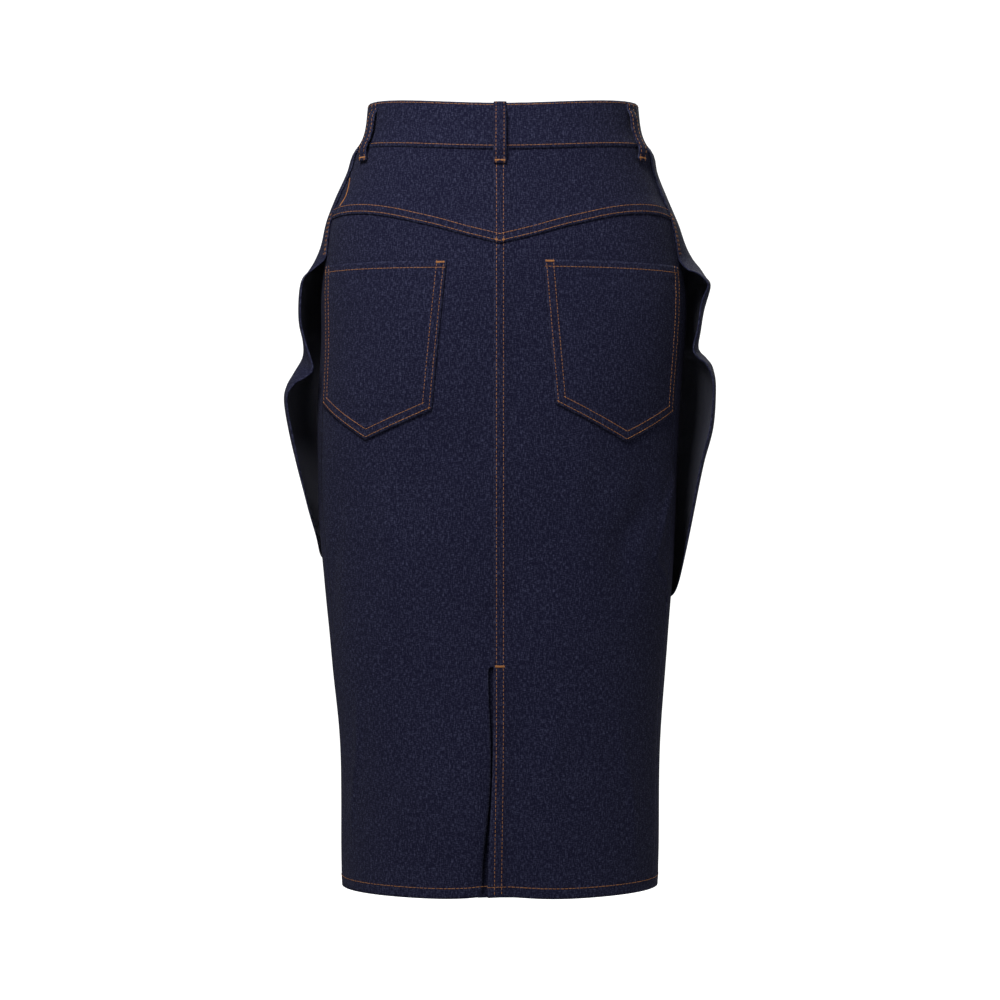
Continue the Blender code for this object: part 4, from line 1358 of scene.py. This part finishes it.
class SkirtLook(bpy.types.PropertyGroup):
    """Colours and sizes of the skirt that a user would change."""

    indigo: colour("Indigo", "Deepest colour of the denim", (0.0080, 0.0083, 0.0275))
    faded: colour("Faded", "Colour of the denim where it has paled", (0.057, 0.061, 0.118))
    reverse: colour("Reverse", "Colour of the denim's inner face", (0.095, 0.097, 0.125))
    thread: colour("Thread", "Colour of the topstitching thread", (0.40, 0.160, 0.042))
    copper: colour("Copper", "Colour of the button and zip", (0.60, 0.32, 0.16))
    heather: amount("Heather", "How uneven the yarns' colour is", 2.6, 0.0, 4.0)
    crease_depth: amount("Crease depth", "Depth of the creases, as a multiple of the table's",
                         1.5, 0.0, 2.0)
    pucker: amount("Pucker", "Height of the ripples beside a row of stitches", 0.00022, 0.0, 0.001,
                   "LENGTH")
    stitch_pitch: amount("Stitch pitch", "From one topstitch to the next", 0.0038, 0.002, 0.006, "LENGTH")
    thread_radius: amount("Thread radius", "Radius of the topstitching thread", 0.00026, 0.0001, 0.0006,
                          "LENGTH")
    light: amount("Light", "Strength of the studio's lights; 1 is as set", 1.0, 0.0, 4.0)


def both_sides(make):
    """Make the left and the right one of a piece."""
    for side_name, side in SIDES:
        make(side_name, side)


class SKIRT_OT_finishes(bpy.types.Operator):
    """Make the denim, thread, copper and tape."""

    bl_idname = "skirt.finishes"
    bl_label = "Finishes"

    def execute(self, context):
        make_finishes()
        return {"FINISHED"}


class SKIRT_OT_back(bpy.types.Operator):
    """Make the back panels, the yokes and the strip inside the vent."""

    bl_idname = "skirt.back"
    bl_label = "Back panels and yokes"

    def execute(self, context):
        both_sides(make_back_panel)
        both_sides(make_back_yoke)
        make_underlap()
        return {"FINISHED"}


class SKIRT_OT_pockets(bpy.types.Operator):
    """Make the pointed patch pockets."""

    bl_idname = "skirt.pockets"
    bl_label = "Patch pockets"

    def execute(self, context):
        both_sides(make_pocket)
        return {"FINISHED"}


class SKIRT_OT_front(bpy.types.Operator):
    """Make the front panels."""

    bl_idname = "skirt.front"
    bl_label = "Front panels"

    def execute(self, context):
        both_sides(make_front_panel)
        return {"FINISHED"}


class SKIRT_OT_drapes(bpy.types.Operator):
    """Make the drape at each hip."""

    bl_idname = "skirt.drapes"
    bl_label = "Hip drapes"

    def execute(self, context):
        both_sides(make_drape)
        return {"FINISHED"}


class SKIRT_OT_waist(bpy.types.Operator):
    """Make the waistband and its belt loops."""

    bl_idname = "skirt.waist"
    bl_label = "Waistband and loops"

    def execute(self, context):
        make_waistband()
        for name, turns in LOOPS.items():
            make_belt_loop(name, turns)
        return {"FINISHED"}


class SKIRT_OT_closure(bpy.types.Operator):
    """Make the zip's tape and teeth, and finish its slider and the button."""

    bl_idname = "skirt.closure"
    bl_label = "Zip and button"

    def execute(self, context):
        make_zip()
        return {"FINISHED"}


class SKIRT_OT_thread(bpy.types.Operator):
    """Sew the topstitching and the bar tacks."""

    bl_idname = "skirt.thread"
    bl_label = "Topstitching"

    def execute(self, context):
        make_topstitching()
        make_bar_tacks()
        return {"FINISHED"}


class SKIRT_OT_stage(bpy.types.Operator):
    """Set the floor, the lights and the camera."""

    bl_idname = "skirt.stage"
    bl_label = "Stage"

    def execute(self, context):
        make_stage()
        return {"FINISHED"}


OPERATORS = (SKIRT_OT_finishes, SKIRT_OT_back, SKIRT_OT_pockets, SKIRT_OT_front, SKIRT_OT_drapes,
             SKIRT_OT_waist, SKIRT_OT_closure, SKIRT_OT_thread, SKIRT_OT_stage)


class SKIRT_PT_panel(bpy.types.Panel):
    """The skirt's colours, sizes and pieces."""

    bl_label = "Denim Skirt"
    bl_idname = "SKIRT_PT_panel"
    bl_space_type = "VIEW_3D"
    bl_region_type = "UI"
    bl_category = "Skirt"

    def draw(self, context):
        for name in SkirtLook.__annotations__:
            self.layout.prop(context.scene.skirt_look, name)
        for operator in OPERATORS:
            self.layout.operator(operator.bl_idname)


def register():
    """Make the classes and the scene's skirt_look known."""
    for each in (SkirtLook, *OPERATORS, SKIRT_PT_panel):
        bpy.utils.register_class(each)
    bpy.types.Scene.skirt_look = bpy.props.PointerProperty(type=SkirtLook)


def unregister():
    """Take them away again."""
    del bpy.types.Scene.skirt_look
    for each in reversed((SkirtLook, *OPERATORS, SKIRT_PT_panel)):
        bpy.utils.unregister_class(each)


def main():
    """Build every piece and the stage."""
    register()
    for operator in OPERATORS:
        group, name = operator.bl_idname.split(".")
        getattr(getattr(bpy.ops, group), name)()


if __name__ == "__main__":
    main()
